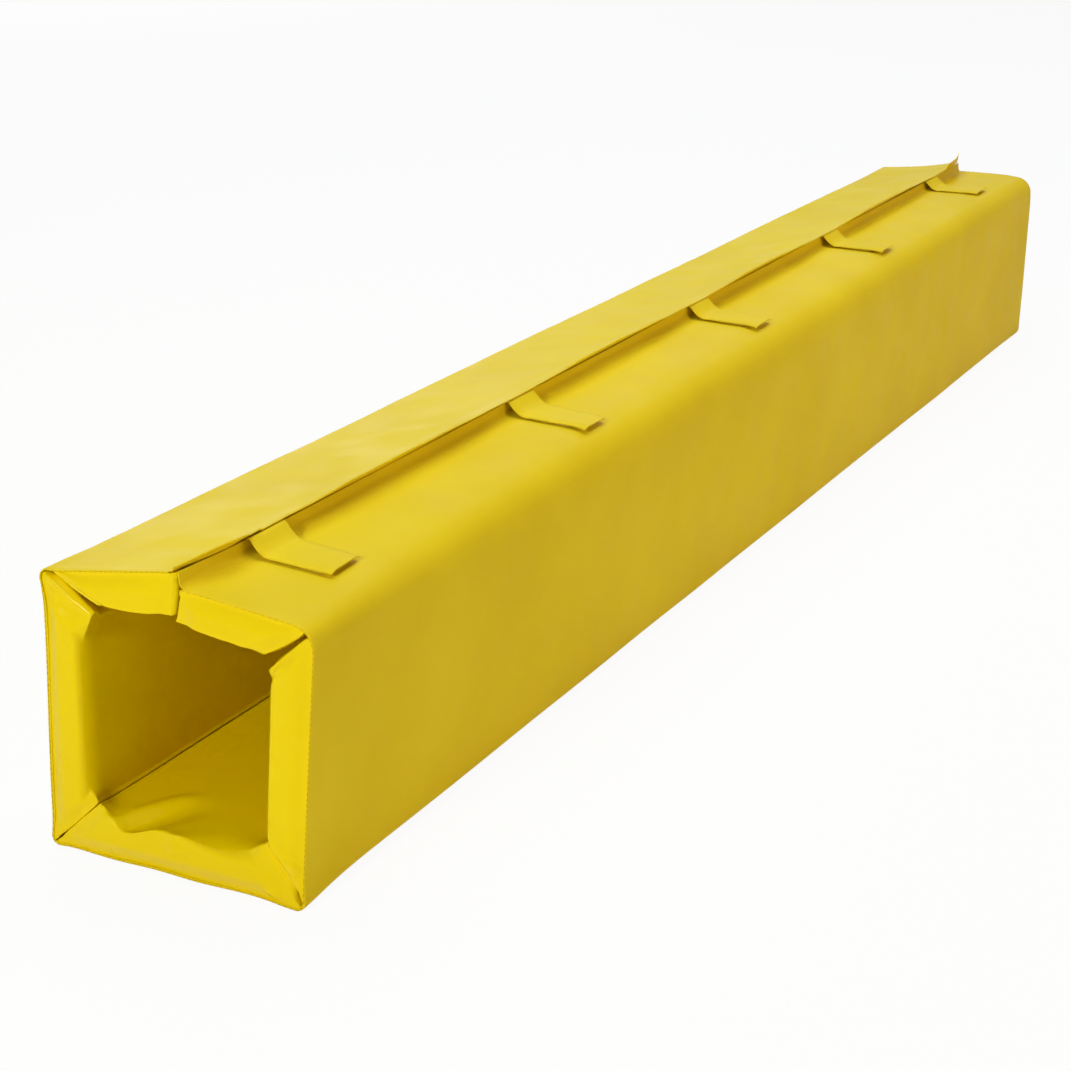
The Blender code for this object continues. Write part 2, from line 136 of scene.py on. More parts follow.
STRAP_SAG_SIDE = (PATCH_WIDTH / 2 - 0.004, STRAP_WIDTH / 2 + 0.002)
STACK_STEP = PATCH_THICKNESS + GAP
STRAP_FLOAT = 2 * STACK_STEP + GAP + STRAP_THICKNESS

# Rolled ends of the skin, and the places on the section where the roll changes
END_ROLL = 0.0007
LEFT_ROLL = 0.0026
BOTTOM_ROLL = 0.0010
LONGEST_ROLL = 0.0036
BORDER = 0.0004
LEFT_BORDER = 0.0008
BOTTOM_BORDER = 0.0006
LEFT_ROLL_X = (-0.116, -0.104)
LEFT_ROLL_FOOT = (0.004, 0.030)
LEFT_ROLL_TOP = (0.205, 0.235)
BOTTOM_ROLL_HEIGHTS = (0.001, 0.020)
SPLIT_HEIGHT = 0.024
SPLIT_STEP = 0.003
FOLD_STEPS = 12
SHOULDER_STEPS = 14
CRISP_ANGLE = 48.0

# Steps along the pad: the finest, the widest, and how far the fine ones run in from the near and far end
SKIN_STEPS = (0.004, 0.012, 0.10, 0.05)
COVER_STEPS = (0.0015, 0.020, 0.045, 0.02)
FOAM_STEPS = (0.005, 0.050, 0.08, 0.02)

# Covers and cores, with the depths below the outer face at which their sides and edges change. The foam
# stands back from a fold by FOAM_STAND_BACK times its inset
COVER_START = VINYL + GAP
COVER_SET_BACK = 0.0012
COVER_END = SKIN_END - COVER_SET_BACK
COVER_SINK = 0.0022
MITRE_GAP = 0.0010
MITRE_BLEND = 0.0015
INNER_GAP = 0.0013
INNER_GAP_START = 0.022
END_ROUNDING = 0.013
OUTER_ROUNDING = 0.0008
EDGE_ROUNDING = 0.0009
MITRE_ROUNDING = 0.0014
TOP_ROUNDING = 0.006
SEAM_ROUNDING = 0.0022
SEAM_ROUNDING_WIDTH = 0.012
BOTTOM_ROUNDING_SHARE = 0.25
BOTTOM_ROUNDING_SHARES = (0.50, 0.80)
FACE_ROUNDING_SHARE = 0.8
FIRST_DEPTHS = np.array([0.0, 0.0004, 0.0011, 0.0022, 0.0038, 0.0060])
OUTER_DEPTHS = (0.002, 0.008)
PUFF_DEPTHS = (0.003, 0.018)
SIDE_DEPTHS = (0.006, 0.014)
SOFT_DEPTHS = (0.008, 0.030)
SOFT_WIDTH = 0.014
PUFF_WIDTH = 0.020
NEAR_THE_END = (0.020, 0.070)
SINK_LENGTHS = (0.004, 0.030)
CROWN = 0.003
CROWN_FLAT = 0.9
END_PUFF = 0.0050
FOAM_INSET = 0.0024
FOAM_STAND_BACK = 2.0
FOAM_SHORT = 0.018
COVER_MESH = (0.0013, 0.0032)
COVER_LAYERS = 26
FOAM_MESH = (0.006, 0.012)
FOAM_LAYERS = 10
MESH_EDGE = 0.036

# Unevenness: the pitch and height of each wander, and the seed that it starts from
SKIN_WANDER = (0.17, 0.0009, 3.0)
COVER_WANDER = (0.09, 0.0006, 11.0)

STITCH_PITCH = 0.005
STITCH_LENGTH = 0.0036
STITCH_RADIUS = 0.00030
STITCH_STAND = 0.0002
STITCH_ON_ROLL = 0.7
STITCH_ON_BORDER = 0.5
MILLIMETRE = 0.001


def turned(x, z, degrees):
    """A point of the section turned about the pad's long axis."""
    angle = math.radians(degrees)
    return np.array((x * math.cos(angle) + z * math.sin(angle), z * math.cos(angle) - x * math.sin(angle)))


def smooth(value, start, end):
    """0 before start and 1 after end, with a soft step between them."""
    share = np.clip((value - start) / (end - start), 0.0, 1.0)
    return share * share * (3.0 - 2.0 * share)


def bell(distance, reach):
    """1 at no distance, falling off softly round the reach."""
    return np.exp(-(distance / reach) ** 2)


def dome(share, flat=0.34):
    """1 over the flat middle of a side, falling to 0 at its two edges."""
    past = np.maximum(0.0, np.abs(2.0 * np.asarray(share) - 1.0) - flat)
    return 1.0 - (past / (1.0 - flat)) ** 2


class Panel:
    """One padded side of the sleeve: its outer corner, and which way its width and depth run."""

    def __init__(self, name, carrier, tilt, side, across, inward, width, far_slope, radii):
        """The carrier is the hinge axis; far_slope is None where there is a second mitre."""
        self.name = name
        self.radii = radii
        self.corner = carrier + turned(side[0] * AXIS_INSET, side[1] * AXIS_INSET, tilt)
        self.across = turned(*across, tilt)
        self.inward = turned(*inward, tilt)
        self.width = width
        self.far_slope = far_slope

    def at(self, across, deep):
        """Section points at those distances across and below the outer face."""
        across = np.asarray(across, float)[..., None]
        deep = np.asarray(deep, float)[..., None]
        return self.corner + across * self.across + deep * self.inward


def top_width(carrier, side, tilt, seam_x):
    """How wide a top panel is, from its folded corner to the seam."""
    corner = carrier + turned(side * AXIS_INSET, AXIS_INSET, tilt)
    return abs(seam_x - corner[0]) / math.cos(math.radians(tilt))


BETWEEN_FOLDS = WIDTH - 2 * AXIS_INSET
HALF_INNER = WIDTH / 2 - AXIS_INSET
LEFT_FOLD = np.array((-HALF_INNER, AXIS_INSET))
RIGHT_FOLD = np.array((HALF_INNER, AXIS_INSET))
TOP_LEFT_FOLD = LEFT_FOLD + turned(0.0, BETWEEN_FOLDS, LEFT_LEAN)
TOP_RIGHT_FOLD = RIGHT_FOLD + turned(0.0, BETWEEN_FOLDS, RIGHT_LEAN)
TOP_LEFT_WIDTH = top_width(TOP_LEFT_FOLD, -1, TOP_LEFT_TILT, SEAM_X)
TOP_RIGHT_WIDTH = top_width(TOP_RIGHT_FOLD, 1, TOP_RIGHT_TILT, FLAP_SEAM_X)
BOTTOM = Panel("bottom", LEFT_FOLD, 0.0, (-1, -1), (1, 0), (0, 1), WIDTH, None,
               (FOLD_RADIUS, FOLD_RADIUS))
LEFT = Panel("left", LEFT_FOLD, LEFT_LEAN, (-1, -1), (0, 1), (1, 0), WIDTH, None,
             (FOLD_RADIUS, FOLD_RADIUS))
RIGHT = Panel("right", RIGHT_FOLD, RIGHT_LEAN, (1, -1), (0, 1), (-1, 0), WIDTH, None,
              (FOLD_RADIUS, SHOULDER_RADIUS))
TOP_LEFT = Panel("top_left", TOP_LEFT_FOLD, TOP_LEFT_TILT, (-1, 1), (1, 0), (0, -1), TOP_LEFT_WIDTH,
                 math.tan(math.radians(-TOP_LEFT_TILT)), (FOLD_RADIUS, 0.0))
TOP_RIGHT = Panel("top_right", TOP_RIGHT_FOLD, TOP_RIGHT_TILT, (1, 1), (-1, 0), (0, -1), TOP_RIGHT_WIDTH,
                  0.0, (SHOULDER_RADIUS, 0.0))
PANELS = [BOTTOM, LEFT, RIGHT, TOP_LEFT, TOP_RIGHT]
TOP_RIGHT_SLOPE = math.tan(math.radians(TOP_RIGHT_TILT))
TOP_RIGHT_COSINE = math.cos(math.radians(TOP_RIGHT_TILT))
SEAM_TOP = TOP_LEFT.at(TOP_LEFT.width, 0.0)[1]
FLAP_SEAM_TOP = TOP_RIGHT.at(TOP_RIGHT.width, 0.0)[1]

# How the pad settles out of square: the right wall flares at the near end and leans in at the far end.
# A pair gives where a change starts and where it is complete, along the pad, across it or up it
NEAR_FLARE = 0.0085
FLARE_LENGTH = 0.16
FLARE_SIDE = (0.05, 0.125)
NEAR_DROP = 0.0045
NEAR_DROP_SIDE = (0.03, 0.135)
FAR_LEAN = 0.0075
FAR_LEAN_START = 0.5
FAR_LEAN_SIDE = (-0.09, 0.04)
FAR_DROP = 0.0065
FAR_DROP_X = -0.030
FAR_DROP_REACH = 0.090
CORNER_SHARPNESS = 0.0018
CORNER_REACH = 0.012
SHARP_LENGTH = 0.05
FAR_SHARP_SHARE = 0.3
SETTLE = 0.0016
SETTLE_HEIGHTS = (0.0, 0.05)
RIM_LENGTH = 0.05
RIM_HEIGHTS = (0.02, 0.23)
RIM_LEFT = 0.0052
RIM_LEFT_SIDE = (-0.12, -0.07)
RIM_DROP = 0.0010
RIM_SAG = 0.0018
RIM_SAG_X = 0.106
RIM_SAG_REACH = 0.015
RIM_SAG_LENGTH = 0.03
RIM_SAG_HEIGHTS = (0.0, 0.016)
RIM_WAVE = 0.0005
RIM_PITCH = 75.0
SHOULDER_DEPTH = 0.0075
SHOULDER_REACH = 0.030
SHOULDER_STRETCH = (0.03, 0.20)
SHOULDER_FADE = 0.7
SHOULDER_FADE_STRETCH = (1.2, 2.0)


def corner_push(points, corner, inward, reach, amount):
    """Moves the points near a long corner along its diagonal, to make the corner softer or sharper."""
    away = np.hypot(points[:, 0] - corner[0], points[:, 2] - corner[1])
    size = amount * np.exp(-(away / reach) ** 3)
    points[:, 0] += inward[0] * size
    points[:, 2] += inward[1] * size


def reshape_corners(points, from_near):
    """Sharpens the four long corners at the pad's ends, and softens the top right one between them."""
    slant = math.sqrt(0.5)
    at_ends = bell(from_near, SHARP_LENGTH) + FAR_SHARP_SHARE * bell(LENGTH - from_near, SHARP_LENGTH)
    for panel, right, up in [(BOTTOM, 1, 1), (RIGHT, -1, 1), (TOP_LEFT, 1, -1), (TOP_RIGHT, -1, -1)]:
        inward = (right * slant, up * slant)
        corner_push(points, panel.corner, inward, CORNER_REACH, -CORNER_SHARPNESS * at_ends)
    soft = SHOULDER_DEPTH * smooth(from_near, *SHOULDER_STRETCH)
    soft = soft * (1.0 - SHOULDER_FADE * smooth(from_near, *SHOULDER_FADE_STRETCH))
    corner_push(points, TOP_RIGHT.corner, (-slant, -slant), SHOULDER_REACH, soft)


def lower_rim(points, from_near):
    """Spreads the near rim to the left at its foot, and lets the underside settle and the rim sag."""
    x, z = points[:, 0], points[:, 2]
    rim = bell(from_near, RIM_LENGTH)
    low = 1.0 - smooth(z, *RIM_HEIGHTS)
    under = 1.0 - smooth(z, *SETTLE_HEIGHTS)
    x -= RIM_LEFT * rim * low * (1.0 - smooth(x, *RIM_LEFT_SIDE))
    low_rim = (1.0 - smooth(z, *RIM_SAG_HEIGHTS)) * bell(from_near, RIM_SAG_LENGTH)
    sag = RIM_SAG * bell(x - RIM_SAG_X, RIM_SAG_REACH) + RIM_WAVE * np.sin(x * RIM_PITCH)
    z -= (SETTLE + RIM_DROP * rim) * under + sag * low_rim


def lean_ends(points, from_near, height):
    """Flares the right wall at the near end; leans the far end to the left and lets its top sink."""
    x, z = points[:, 0], points[:, 2]
    near = bell(from_near, FLARE_LENGTH)
    far = smooth(from_near, FAR_LEAN_START, LENGTH)
    wall = smooth(x, *FLARE_SIDE)
    drop = smooth(x, *NEAR_DROP_SIDE)
    lean = smooth(x, *FAR_LEAN_SIDE)
    sag = bell(x - FAR_DROP_X, FAR_DROP_REACH)
    x += height * (wall * NEAR_FLARE * near - lean * FAR_LEAN * far)
    z -= height * (NEAR_DROP * near * drop + FAR_DROP * far * sag)


def settled(points):
    """Where the points of a perfectly square pad come to rest on the real one."""
    points = np.array(points, float)
    from_near = points[:, 1] + LENGTH / 2
    reshape_corners(points, from_near)
    height = points[:, 2] / WIDTH
    lower_rim(points, from_near)
    lean_ends(points, from_near, height)
    return points


def wander(points, pitch, height, seed):
    """Slow unevenness of a soft surface, the same on every run."""
    offset = Vector((seed * 7.3, seed * 3.1, seed * 5.7))
    found = [noise.noise(Vector(point) / pitch + offset) for point in points]
    return height * np.array(found)


# Meshes
def mesh_piece(name, points, faces, material, smooth_shading=True):
    """A new object of those points and faces, with its faces turned outward."""
    mesh = bpy.data.meshes.new(name)
    mesh.from_pydata([tuple(point) for point in points], [], [tuple(face) for face in faces])
    work = bmesh.new()
    work.from_mesh(mesh)
    bmesh.ops.recalc_face_normals(work, faces=work.faces)
    for face in work.faces:
        face.smooth = smooth_shading
    work.to_mesh(mesh)
    work.free()
    mesh.materials.append(material)
    piece = bpy.data.objects.new(name, mesh)
    bpy.context.scene.collection.objects.link(piece)
    return piece


def quads(ids):
    """Four-sided faces over a grid of vertex numbers; a cell with a missing corner is left out."""
    cells = np.stack((ids[:-1, :-1], ids[1:, :-1], ids[1:, 1:], ids[:-1, 1:]), axis=-1).reshape(-1, 4)
    return cells[(cells >= 0).all(axis=1)]


def rows_of(piece, kind="co"):
    """The places of the piece's vertices as rows of numbers, or the ways they face if kind is normal."""
    found = np.empty(len(piece.data.vertices) * 3)
    piece.data.vertices.foreach_get(kind, found)
    return found.reshape(-1, 3)


def move_points(piece, points):
    """Puts the piece's vertices at those points."""
    piece.data.vertices.foreach_set("co", np.asarray(points, float).ravel())
    piece.data.update()


def thicken(piece, thickness):
    """Gives a sheet its thickness for good, below its outer face, and keeps its cut edges crisp."""
    solid = piece.modifiers.new("thickness", "SOLIDIFY")
    solid.thickness = thickness
    solid.offset = -1.0
    solid.use_even_offset = False
    solid.use_quality_normals = True
    graph = bpy.context.evaluated_depsgraph_get()
    thick = bpy.data.meshes.new_from_object(piece.evaluated_get(graph))
    piece.modifiers.clear()
    piece.data = thick
    thick.set_sharp_from_angle(angle=math.radians(CRISP_ANGLE))


def face_outward(piece, direction):
    """Turns an open sheet over if most of it looks the wrong way."""
    mesh = piece.data
    total = Vector()
    for face in mesh.polygons:
        total += Vector(face.normal) * face.area
    if total.dot(Vector(direction)) < 0.0:
        mesh.flip_normals()
        mesh.update()


def graded(start, end, fine, coarse, fine_length_start, fine_length_end):
    """Stations that are close together near both ends and wider between."""
    widening = 2.2
    stations = [start]
    while stations[-1] < end - 1e-9:
        place = stations[-1]
        near_start = smooth(place - start, fine_length_start, fine_length_start * widening)
        near_end = smooth(end - place, fine_length_end, fine_length_end * widening)
        stations.append(place + fine + (coarse - fine) * float(near_start * near_end))
    scale = (end - start) / (stations[-1] - start)
    return np.array([start + (place - start) * scale for place in stations])


# Outer skin: four sheets, each wrapped round one long fold of the pad
def fold_curve(first, first_across, second, second_across, steps):
    """The soft turn of the skin between two panels' outer faces, all but a quarter of a circle."""
    pull = 0.5523
    begin = first.at(first_across, 0.0)
    finish = second.at(second_across, 0.0)
    corner_one = first.corner + (first.across * first.width if first_across > first.width / 2 else 0.0)
    corner_two = second.corner + (second.across * second.width if second_across > second.width / 2 else 0.0)
    pull_one = begin + pull * (corner_one - begin)
    pull_two = finish + pull * (corner_two - finish)
    share = np.linspace(0.0, 1.0, steps + 1)[1:-1, None]
    rest = 1.0 - share
    return (rest ** 3 * begin + 3 * rest ** 2 * share * pull_one
            + 3 * rest * share ** 2 * pull_two + share ** 3 * finish)


def between_straps(y):
    """0 where a strap draws the lip down, rising in an arch to 1 between straps."""
    y = np.asarray(y, float)
    arch = np.zeros_like(y)
    half = STRAP_WIDTH / 2
    starts = [-SKIN_END - ARCH_PAST_NEAR_END] + [place + half - ARCH_MARGIN for place in STRAP_PLACES]
    ends = [place - half + ARCH_MARGIN for place in STRAP_PLACES] + [SKIN_END + ARCH_PAST_FAR_END]
    for start, end in zip(starts, ends):
        share = np.clip((y - start) / (end - start), 0.0, 1.0)
        arch = np.maximum(arch, np.sin(math.pi * share ** ARCH_SKEW))
    return arch


def lip_reach(y):
    """How far the lip overhangs the seam: it is cut back towards the pad's two ends."""
    near_share = np.clip((SKIN_END + y) / LIP_END_TAPER, 0.0, 1.0)
    far_share = np.clip((SKIN_END - y) / LIP_END_TAPER, 0.0, 1.0)
    full = LIP_OVERHANG - LIP_END_OVERHANG
    near_full = LIP_OVERHANG - LIP_NEAR_OVERHANG
    near = LIP_NEAR_OVERHANG + near_full * np.sin(near_share * math.pi / 2) ** LIP_NEAR_CURVE
    far = LIP_END_OVERHANG + full * np.sin(far_share * math.pi / 2)
    at_strap = 1.0 - smooth(between_straps(y), 0.0, LIP_SET_BACK_ARCH)
    set_back = LIP_SET_BACK * at_strap * smooth(near_share, LIP_SET_BACK_START, 1.0)
    return np.where(np.asarray(y) < 0.0, near, far) - set_back


def lip_height(reach, y):
    """Height of the lip's upper side at a distance past the seam: flat on the underlap, then curled up."""
    y = np.asarray(y, float)
    near_end = 1.0 - LIP_NEAR_CALM * smooth(-y, LIP_NEAR_CALM_START, SKIN_END)
    rise = (LIP_ARCH * between_straps(y) + LIP_EDGE_WAVE * np.sin(y * LIP_EDGE_PITCH)) * near_end
    rise = rise + LIP_NEAR_LIFT * bell(y - STRAP_PLACES[0], LIP_NEAR_LIFT_LENGTH)
    rise = rise + LIP_FAR_LIFT * smooth(y, LIP_FAR_LIFT_START, SKIN_END)
    slope = math.tan(math.radians(-TOP_LEFT_TILT))
    share = reach / (lip_reach(y) + LIP_SET_BACK * (np.abs(y) < LIP_SET_BACK_END))
    curl = np.clip((share - LIP_REST) / (1.0 - LIP_REST), 0.0, 1.0) ** LIP_CURL
    lift = LIP_LIFT * np.minimum(1.0, reach / LIP_LIFT_REACH)
    return SEAM_TOP + reach * slope + lift + rise * curl


def right_top(x):
    """Height of the top right panel's outer face at x."""
    return FLAP_SEAM_TOP - (x - FLAP_SEAM_X) * TOP_RIGHT_SLOPE


# Waves of the skin: each one's share, its pitch, how it follows the slant, and where it starts
TOP_WAVES = [(1.0, 61.0, 1.0, 0.0), (0.7, 97.0, -1.6, 1.3), (0.5, 151.0, 0.0, 2.1)]
WALL_WAVES = [(1.0, 83.0, 1.0, 0.0), (0.6, 131.0, 0.0, 0.8)]
TOP_WAVE_HEIGHT = 0.00075
TOP_WAVE_SLANT = 9.0
TOP_WAVE_LEAST = 0.35
TOP_WAVE_OFFSET = 0.35
TOP_WAVE_SPACING = 0.43
TOP_WAVE_LENGTH = 0.12
TOP_WAVE_END = (0.004, 0.040)
TOP_WAVE_SIDE = (-0.10, 0.02)
TOP_WAVE_CORNER_SHARE = 0.3
LIP_SIDE = (-0.004, 0.014)
TOP_LEFT_HEIGHTS = (0.236, 0.243)
WALL_WAVE_HEIGHT = 0.00022
WALL_WAVE_SLANT = 4.0
WALL_WAVE_SIDE = (0.10, 0.115)
WALL_WAVE_FOOT = (0.02, 0.07)
WALL_WAVE_STRETCH = (-0.6, 0.4)


def wave_sum(y, slant, waves):
    """The waves along the pad added up."""
    return sum(size * np.sin(y * pitch + slant * turn + start) for size, pitch, turn, start in waves)


def ripple(points):
    """Shallow waves that run across the top left half, deepest towards the straps."""
    x, y = points[:, 0], points[:, 1]
    from_crest = np.mod(y + TOP_WAVE_OFFSET, TOP_WAVE_SPACING) - TOP_WAVE_SPACING / 2
    strength = TOP_WAVE_LEAST + (1.0 - TOP_WAVE_LEAST) * bell(from_crest, TOP_WAVE_LENGTH)
    strength = strength * smooth(SKIN_END - np.abs(y), *TOP_WAVE_END) * (1.0 - smooth(x, *LIP_SIDE))
    across = TOP_WAVE_CORNER_SHARE + (1.0 - TOP_WAVE_CORNER_SHARE) * smooth(x, *TOP_WAVE_SIDE)
    return TOP_WAVE_HEIGHT * wave_sum(y, x * TOP_WAVE_SLANT, TOP_WAVES) * across * strength


SKIN_ROWS = graded(-SKIN_END + LONGEST_ROLL, SKIN_END - LONGEST_ROLL, *SKIN_STEPS)


def rolled_edge(line):
    """How widely the skin's end is rolled, and how far it then reaches in over the covers."""
    x, z = line[:, 0], line[:, 1]
    on_left = 1.0 - smooth(x, *LEFT_ROLL_X)
    on_left = on_left * smooth(z, *LEFT_ROLL_FOOT) * (1.0 - smooth(z, *LEFT_ROLL_TOP))
    on_bottom = 1.0 - smooth(z, *BOTTOM_ROLL_HEIGHTS)
    roll = END_ROLL + LEFT_ROLL * on_left + BOTTOM_ROLL * on_bottom
    border = BORDER + LEFT_BORDER * on_left + BOTTOM_BORDER * on_bottom
    return roll, border


def end_rows(line, side):
    """How far the skin's rolled end stands out along the pad and in from its outer face, row by row."""
    roll, border = rolled_edge(line)
    base = SKIN_END - roll
    turns = np.radians(np.linspace(22.5, 90.0, 4))
    turn = [(base + roll * math.sin(angle), roll * (1 - math.cos(angle))) for angle in turns]
    flat = [(base + roll, roll + border * share) for share in (0.5, 1.0)]
    return [(side * y, inset) for y, inset in turn + flat]


def skin_grid(line, outward):
    """Rows of the section line along the pad, its two ends rolled in over the covers."""
    near = list(reversed(end_rows(line, -1.0)))
    far = end_rows(line, 1.0)
    rows = near + [(np.full(len(line), y), np.zeros(len(line))) for y in SKIN_ROWS] + far
    grid = np.zeros((len(rows), len(line), 3))
    for number, (y, inset) in enumerate(rows):
        grid[number, :, ::2] = line - outward * inset[:, None]
        grid[number, :, 1] = y
    return grid, len(near), len(rows) - len(far)


def line_normals(line, side):
    """Unit vectors out of the section line, on its left for side 1 and on its right for side -1."""
    along = np.gradient(line, axis=0)
    along /= np.linalg.norm(along, axis=1)[:, None]
    return side * np.stack((-along[:, 1], along[:, 0]), axis=1)


def face_line(panel, start, end, step=0.006):
    """Stations across a panel's outer face."""
    count = max(2, int(round(abs(end - start) / step)))
    return panel.at(np.linspace(start, end, count + 1), 0.0)


def make_skin(name, material):
    """A sheet of the outer skin along its section line, with a strip past its last edge if it has one."""
    line, side = SKIN_LINES[name]
    edge_strip, outward, unevenness = SKIN_SHAPES[name]
    normals = line_normals(line, side)
    grid, first, last = skin_grid(line, normals)
    rows, columns = grid.shape[:2]
    ids = np.arange(rows * columns).reshape(rows, columns)
    points = grid.reshape(-1, 3)
    if edge_strip is flap_strip:
        points = drawn_to_seam(points)
    faces = quads(ids)
    if edge_strip is not None:
        strip = edge_strip(SKIN_ROWS)
        extra = strip.shape[1]
        strip_ids = np.arange((last - first) * extra).reshape(last - first, extra) + len(points)
        joined = np.concatenate((ids[first:last, -1:], strip_ids), axis=1)
        points = np.concatenate((points, strip.reshape(-1, 3)))
        faces = np.concatenate((faces, quads(joined)))
    piece = mesh_piece(name, points, faces, material)
    face_outward(piece, outward)
    shift = unevenness(rows_of(piece))
    move_points(piece, settled(rows_of(piece) + rows_of(piece, "normal") * shift[:, None]))
    thicken(piece, VINYL)
    return piece


def lip_strip(rows):
    """The lip: the top left skin carried past the seam."""
    shares = np.linspace(0.0, 1.0, LIP_COLUMNS + 1)[1:]
    strip = np.zeros((len(rows), len(shares), 3))
    reach = lip_reach(rows)
    for column, share in enumerate(shares):
        strip[:, column, 0] = SEAM_X + share * reach
        strip[:, column, 1] = rows
        strip[:, column, 2] = lip_height(share * reach, rows)
    return strip


def flap_shape(y):
    """Where the underlap stands and how widely it turns up: closer to the seam at the pad's ends."""
    ends = bell(LENGTH / 2 - np.abs(y), FLAP_END_LENGTH)
    stand_x = FLAP_X + (FLAP_SEAM_X - FLAP_X) * ends
    wide = FLAP_RADIUS + FLAP_SWING * between_straps(y) ** FLAP_SWING_CURVE
    return stand_x, wide + (FLAP_END_RADIUS - wide) * ends


def drawn_to_seam(points):
    """Carries the skin's last stations on to the foot of the underlap, row by row."""
    fade = 0.05
    below_seam = 0.012
    stand_x, radius = flap_shape(points[:, 1])
    full_foot = FLAP_X + FLAP_RADIUS
    near_seam = 1.0 - smooth(points[:, 0], full_foot, full_foot + fade)
    on_top = points[:, 2] > FLAP_SEAM_TOP - below_seam
    shift = (stand_x + radius - full_foot) * near_seam * on_top
    points[:, 0] += shift
    points[:, 2] -= shift * TOP_RIGHT_SLOPE
    return points


def flap_strip(rows):
    """The underlap: the top right skin turned up to stand under the lip."""
    stand_x, radius = flap_shape(rows)
    under_lip = lip_height(stand_x - SEAM_X, rows) - LIP_THICKNESS - FLAP_CLEARANCE
    foot = right_top(stand_x + radius)
    start = foot + radius
    top = np.maximum(np.minimum(under_lip, FLAP_TOP), start + FLAP_LEAST)
    turn = np.radians(np.linspace(0.0, 90.0, FLAP_TURN_STEPS + 1))
    columns = [(stand_x + radius * (1.0 - math.sin(angle)), foot + radius * (1.0 - math.cos(angle)))
               for angle in turn]
    columns += [(stand_x - FLAP_LEAN * share, start + (top - start) * share)
                for share in (0.25, 0.5, 0.75, 1.0)]
    strip = np.zeros((len(rows), len(columns), 3))
    strip[:, :, 1] = rows[:, None]
    for column, (x, z) in enumerate(columns):
        strip[:, column, 0] = x
        strip[:, column, 2] = z
    return strip


def calm(points):
    """The slow unevenness of the foam below the skin."""
    return wander(points, *SKIN_WANDER)


def rippled(points):
    """The waves of the top left half, over the unevenness of the foam."""
    return smooth(points[:, 2], *TOP_LEFT_HEIGHTS) * ripple(points) + calm(points)


def side_waves(points):
    """Faint upright waves along the right wall, over the unevenness of the foam."""
    x, y, z = points.T
    on_wall = smooth(x, *WALL_WAVE_SIDE) * smooth(z, *WALL_WAVE_FOOT) * smooth(y, *WALL_WAVE_STRETCH)
    return WALL_WAVE_HEIGHT * wave_sum(y, z * WALL_WAVE_SLANT, WALL_WAVES) * on_wall + calm(points)


def wrap(first, start, first_turn, second, second_turn, end, steps, step=0.006):
    """The section line of a sheet: over one panel's face, round the fold and on over the next face."""
    return np.concatenate((face_line(first, start, first_turn),
                           fold_curve(first, first_turn, second, second_turn, steps),
                           face_line(second, second_turn, end, step)))


# Where the top right sheet ends and the underlap begins, as a distance across that panel
FOOT_ACROSS = TOP_RIGHT.width - (FLAP_X + FLAP_RADIUS - FLAP_SEAM_X) / TOP_RIGHT_COSINE

# The section line of each sheet of the skin, and on which side of the line is outward: 1 left, -1 right
SKIN_LINES = {
    "skin_bottom_left": (wrap(BOTTOM, WIDTH / 2, FOLD_RADIUS, LEFT, FOLD_RADIUS, SPLIT_HEIGHT,
                              FOLD_STEPS, SPLIT_STEP), 1.0),
    "skin_bottom_right": (wrap(BOTTOM, WIDTH / 2, WIDTH - FOLD_RADIUS, RIGHT, FOLD_RADIUS, SPLIT_HEIGHT,
                               FOLD_STEPS, SPLIT_STEP), -1.0),
    "skin_top_left": (wrap(LEFT, SPLIT_HEIGHT, WIDTH - FOLD_RADIUS, TOP_LEFT, FOLD_RADIUS, TOP_LEFT.width,
                           FOLD_STEPS), 1.0),
    "skin_top_right": (wrap(RIGHT, SPLIT_HEIGHT, WIDTH - SHOULDER_RADIUS, TOP_RIGHT, SHOULDER_RADIUS,
                            FOOT_ACROSS, SHOULDER_STEPS), -1.0),
}

# The strip past the last edge of each sheet, the way that the sheet faces, and its unevenness
SKIN_SHAPES = {
    "skin_bottom_left": (None, (0, 0, -1), calm),
    "skin_bottom_right": (None, (0, 0, -1), calm),
    "skin_top_left": (lip_strip, (-1, 0, 1), rippled),
    "skin_top_right": (flap_strip, (1, 0, 1), side_waves),
}


# Boxed covers and foam cores
def lattice(across, along, deep):
    """Surface points of a block cut at those stations, as shares of its sides, and its faces."""
    counts = (len(across), len(along), len(deep))
    place = np.indices(counts)
    edge = np.array(counts).reshape(3, 1, 1, 1) - 1
    skin = ((place == 0) | (place == edge)).any(axis=0)
    ids = np.full(counts, -1)
    ids[skin] = np.arange(skin.sum())
    chosen = place[:, skin]
    stations = np.stack((across[chosen[0]], along[chosen[1]], deep[chosen[2]]), axis=1)
    sides = [ids[0], ids[-1], ids[:, 0], ids[:, -1], ids[:, :, 0], ids[:, :, -1]]
    return stations, np.concatenate([quads(side) for side in sides])


def near_side_inset(deep, inset, radius):
    """How far in from the folded corner a cover starts, at a depth below the outer face."""
    reach = radius - COVER_START - inset
    below = np.clip(radius - deep, 0.0, reach)
    round_the_fold = radius - np.sqrt(reach ** 2 - below ** 2)
    opening = MITRE_GAP + INNER_GAP * smooth(deep, INNER_GAP_START, PANEL_THICKNESS)
    mitre = deep + (opening + inset) * math.sqrt(0.5) + inset * FOAM_STAND_BACK
    return MITRE_BLEND * np.log(np.exp(round_the_fold / MITRE_BLEND) + np.exp(mitre / MITRE_BLEND))


def deep_stations(inset, count):
    """Depths below the outer face at which a block is cut, closest together at its outer edge."""
    first = COVER_START + inset + FIRST_DEPTHS
    rest = np.linspace(first[-1], PANEL_THICKNESS - inset, count)[1:]
    return np.concatenate((first, rest))


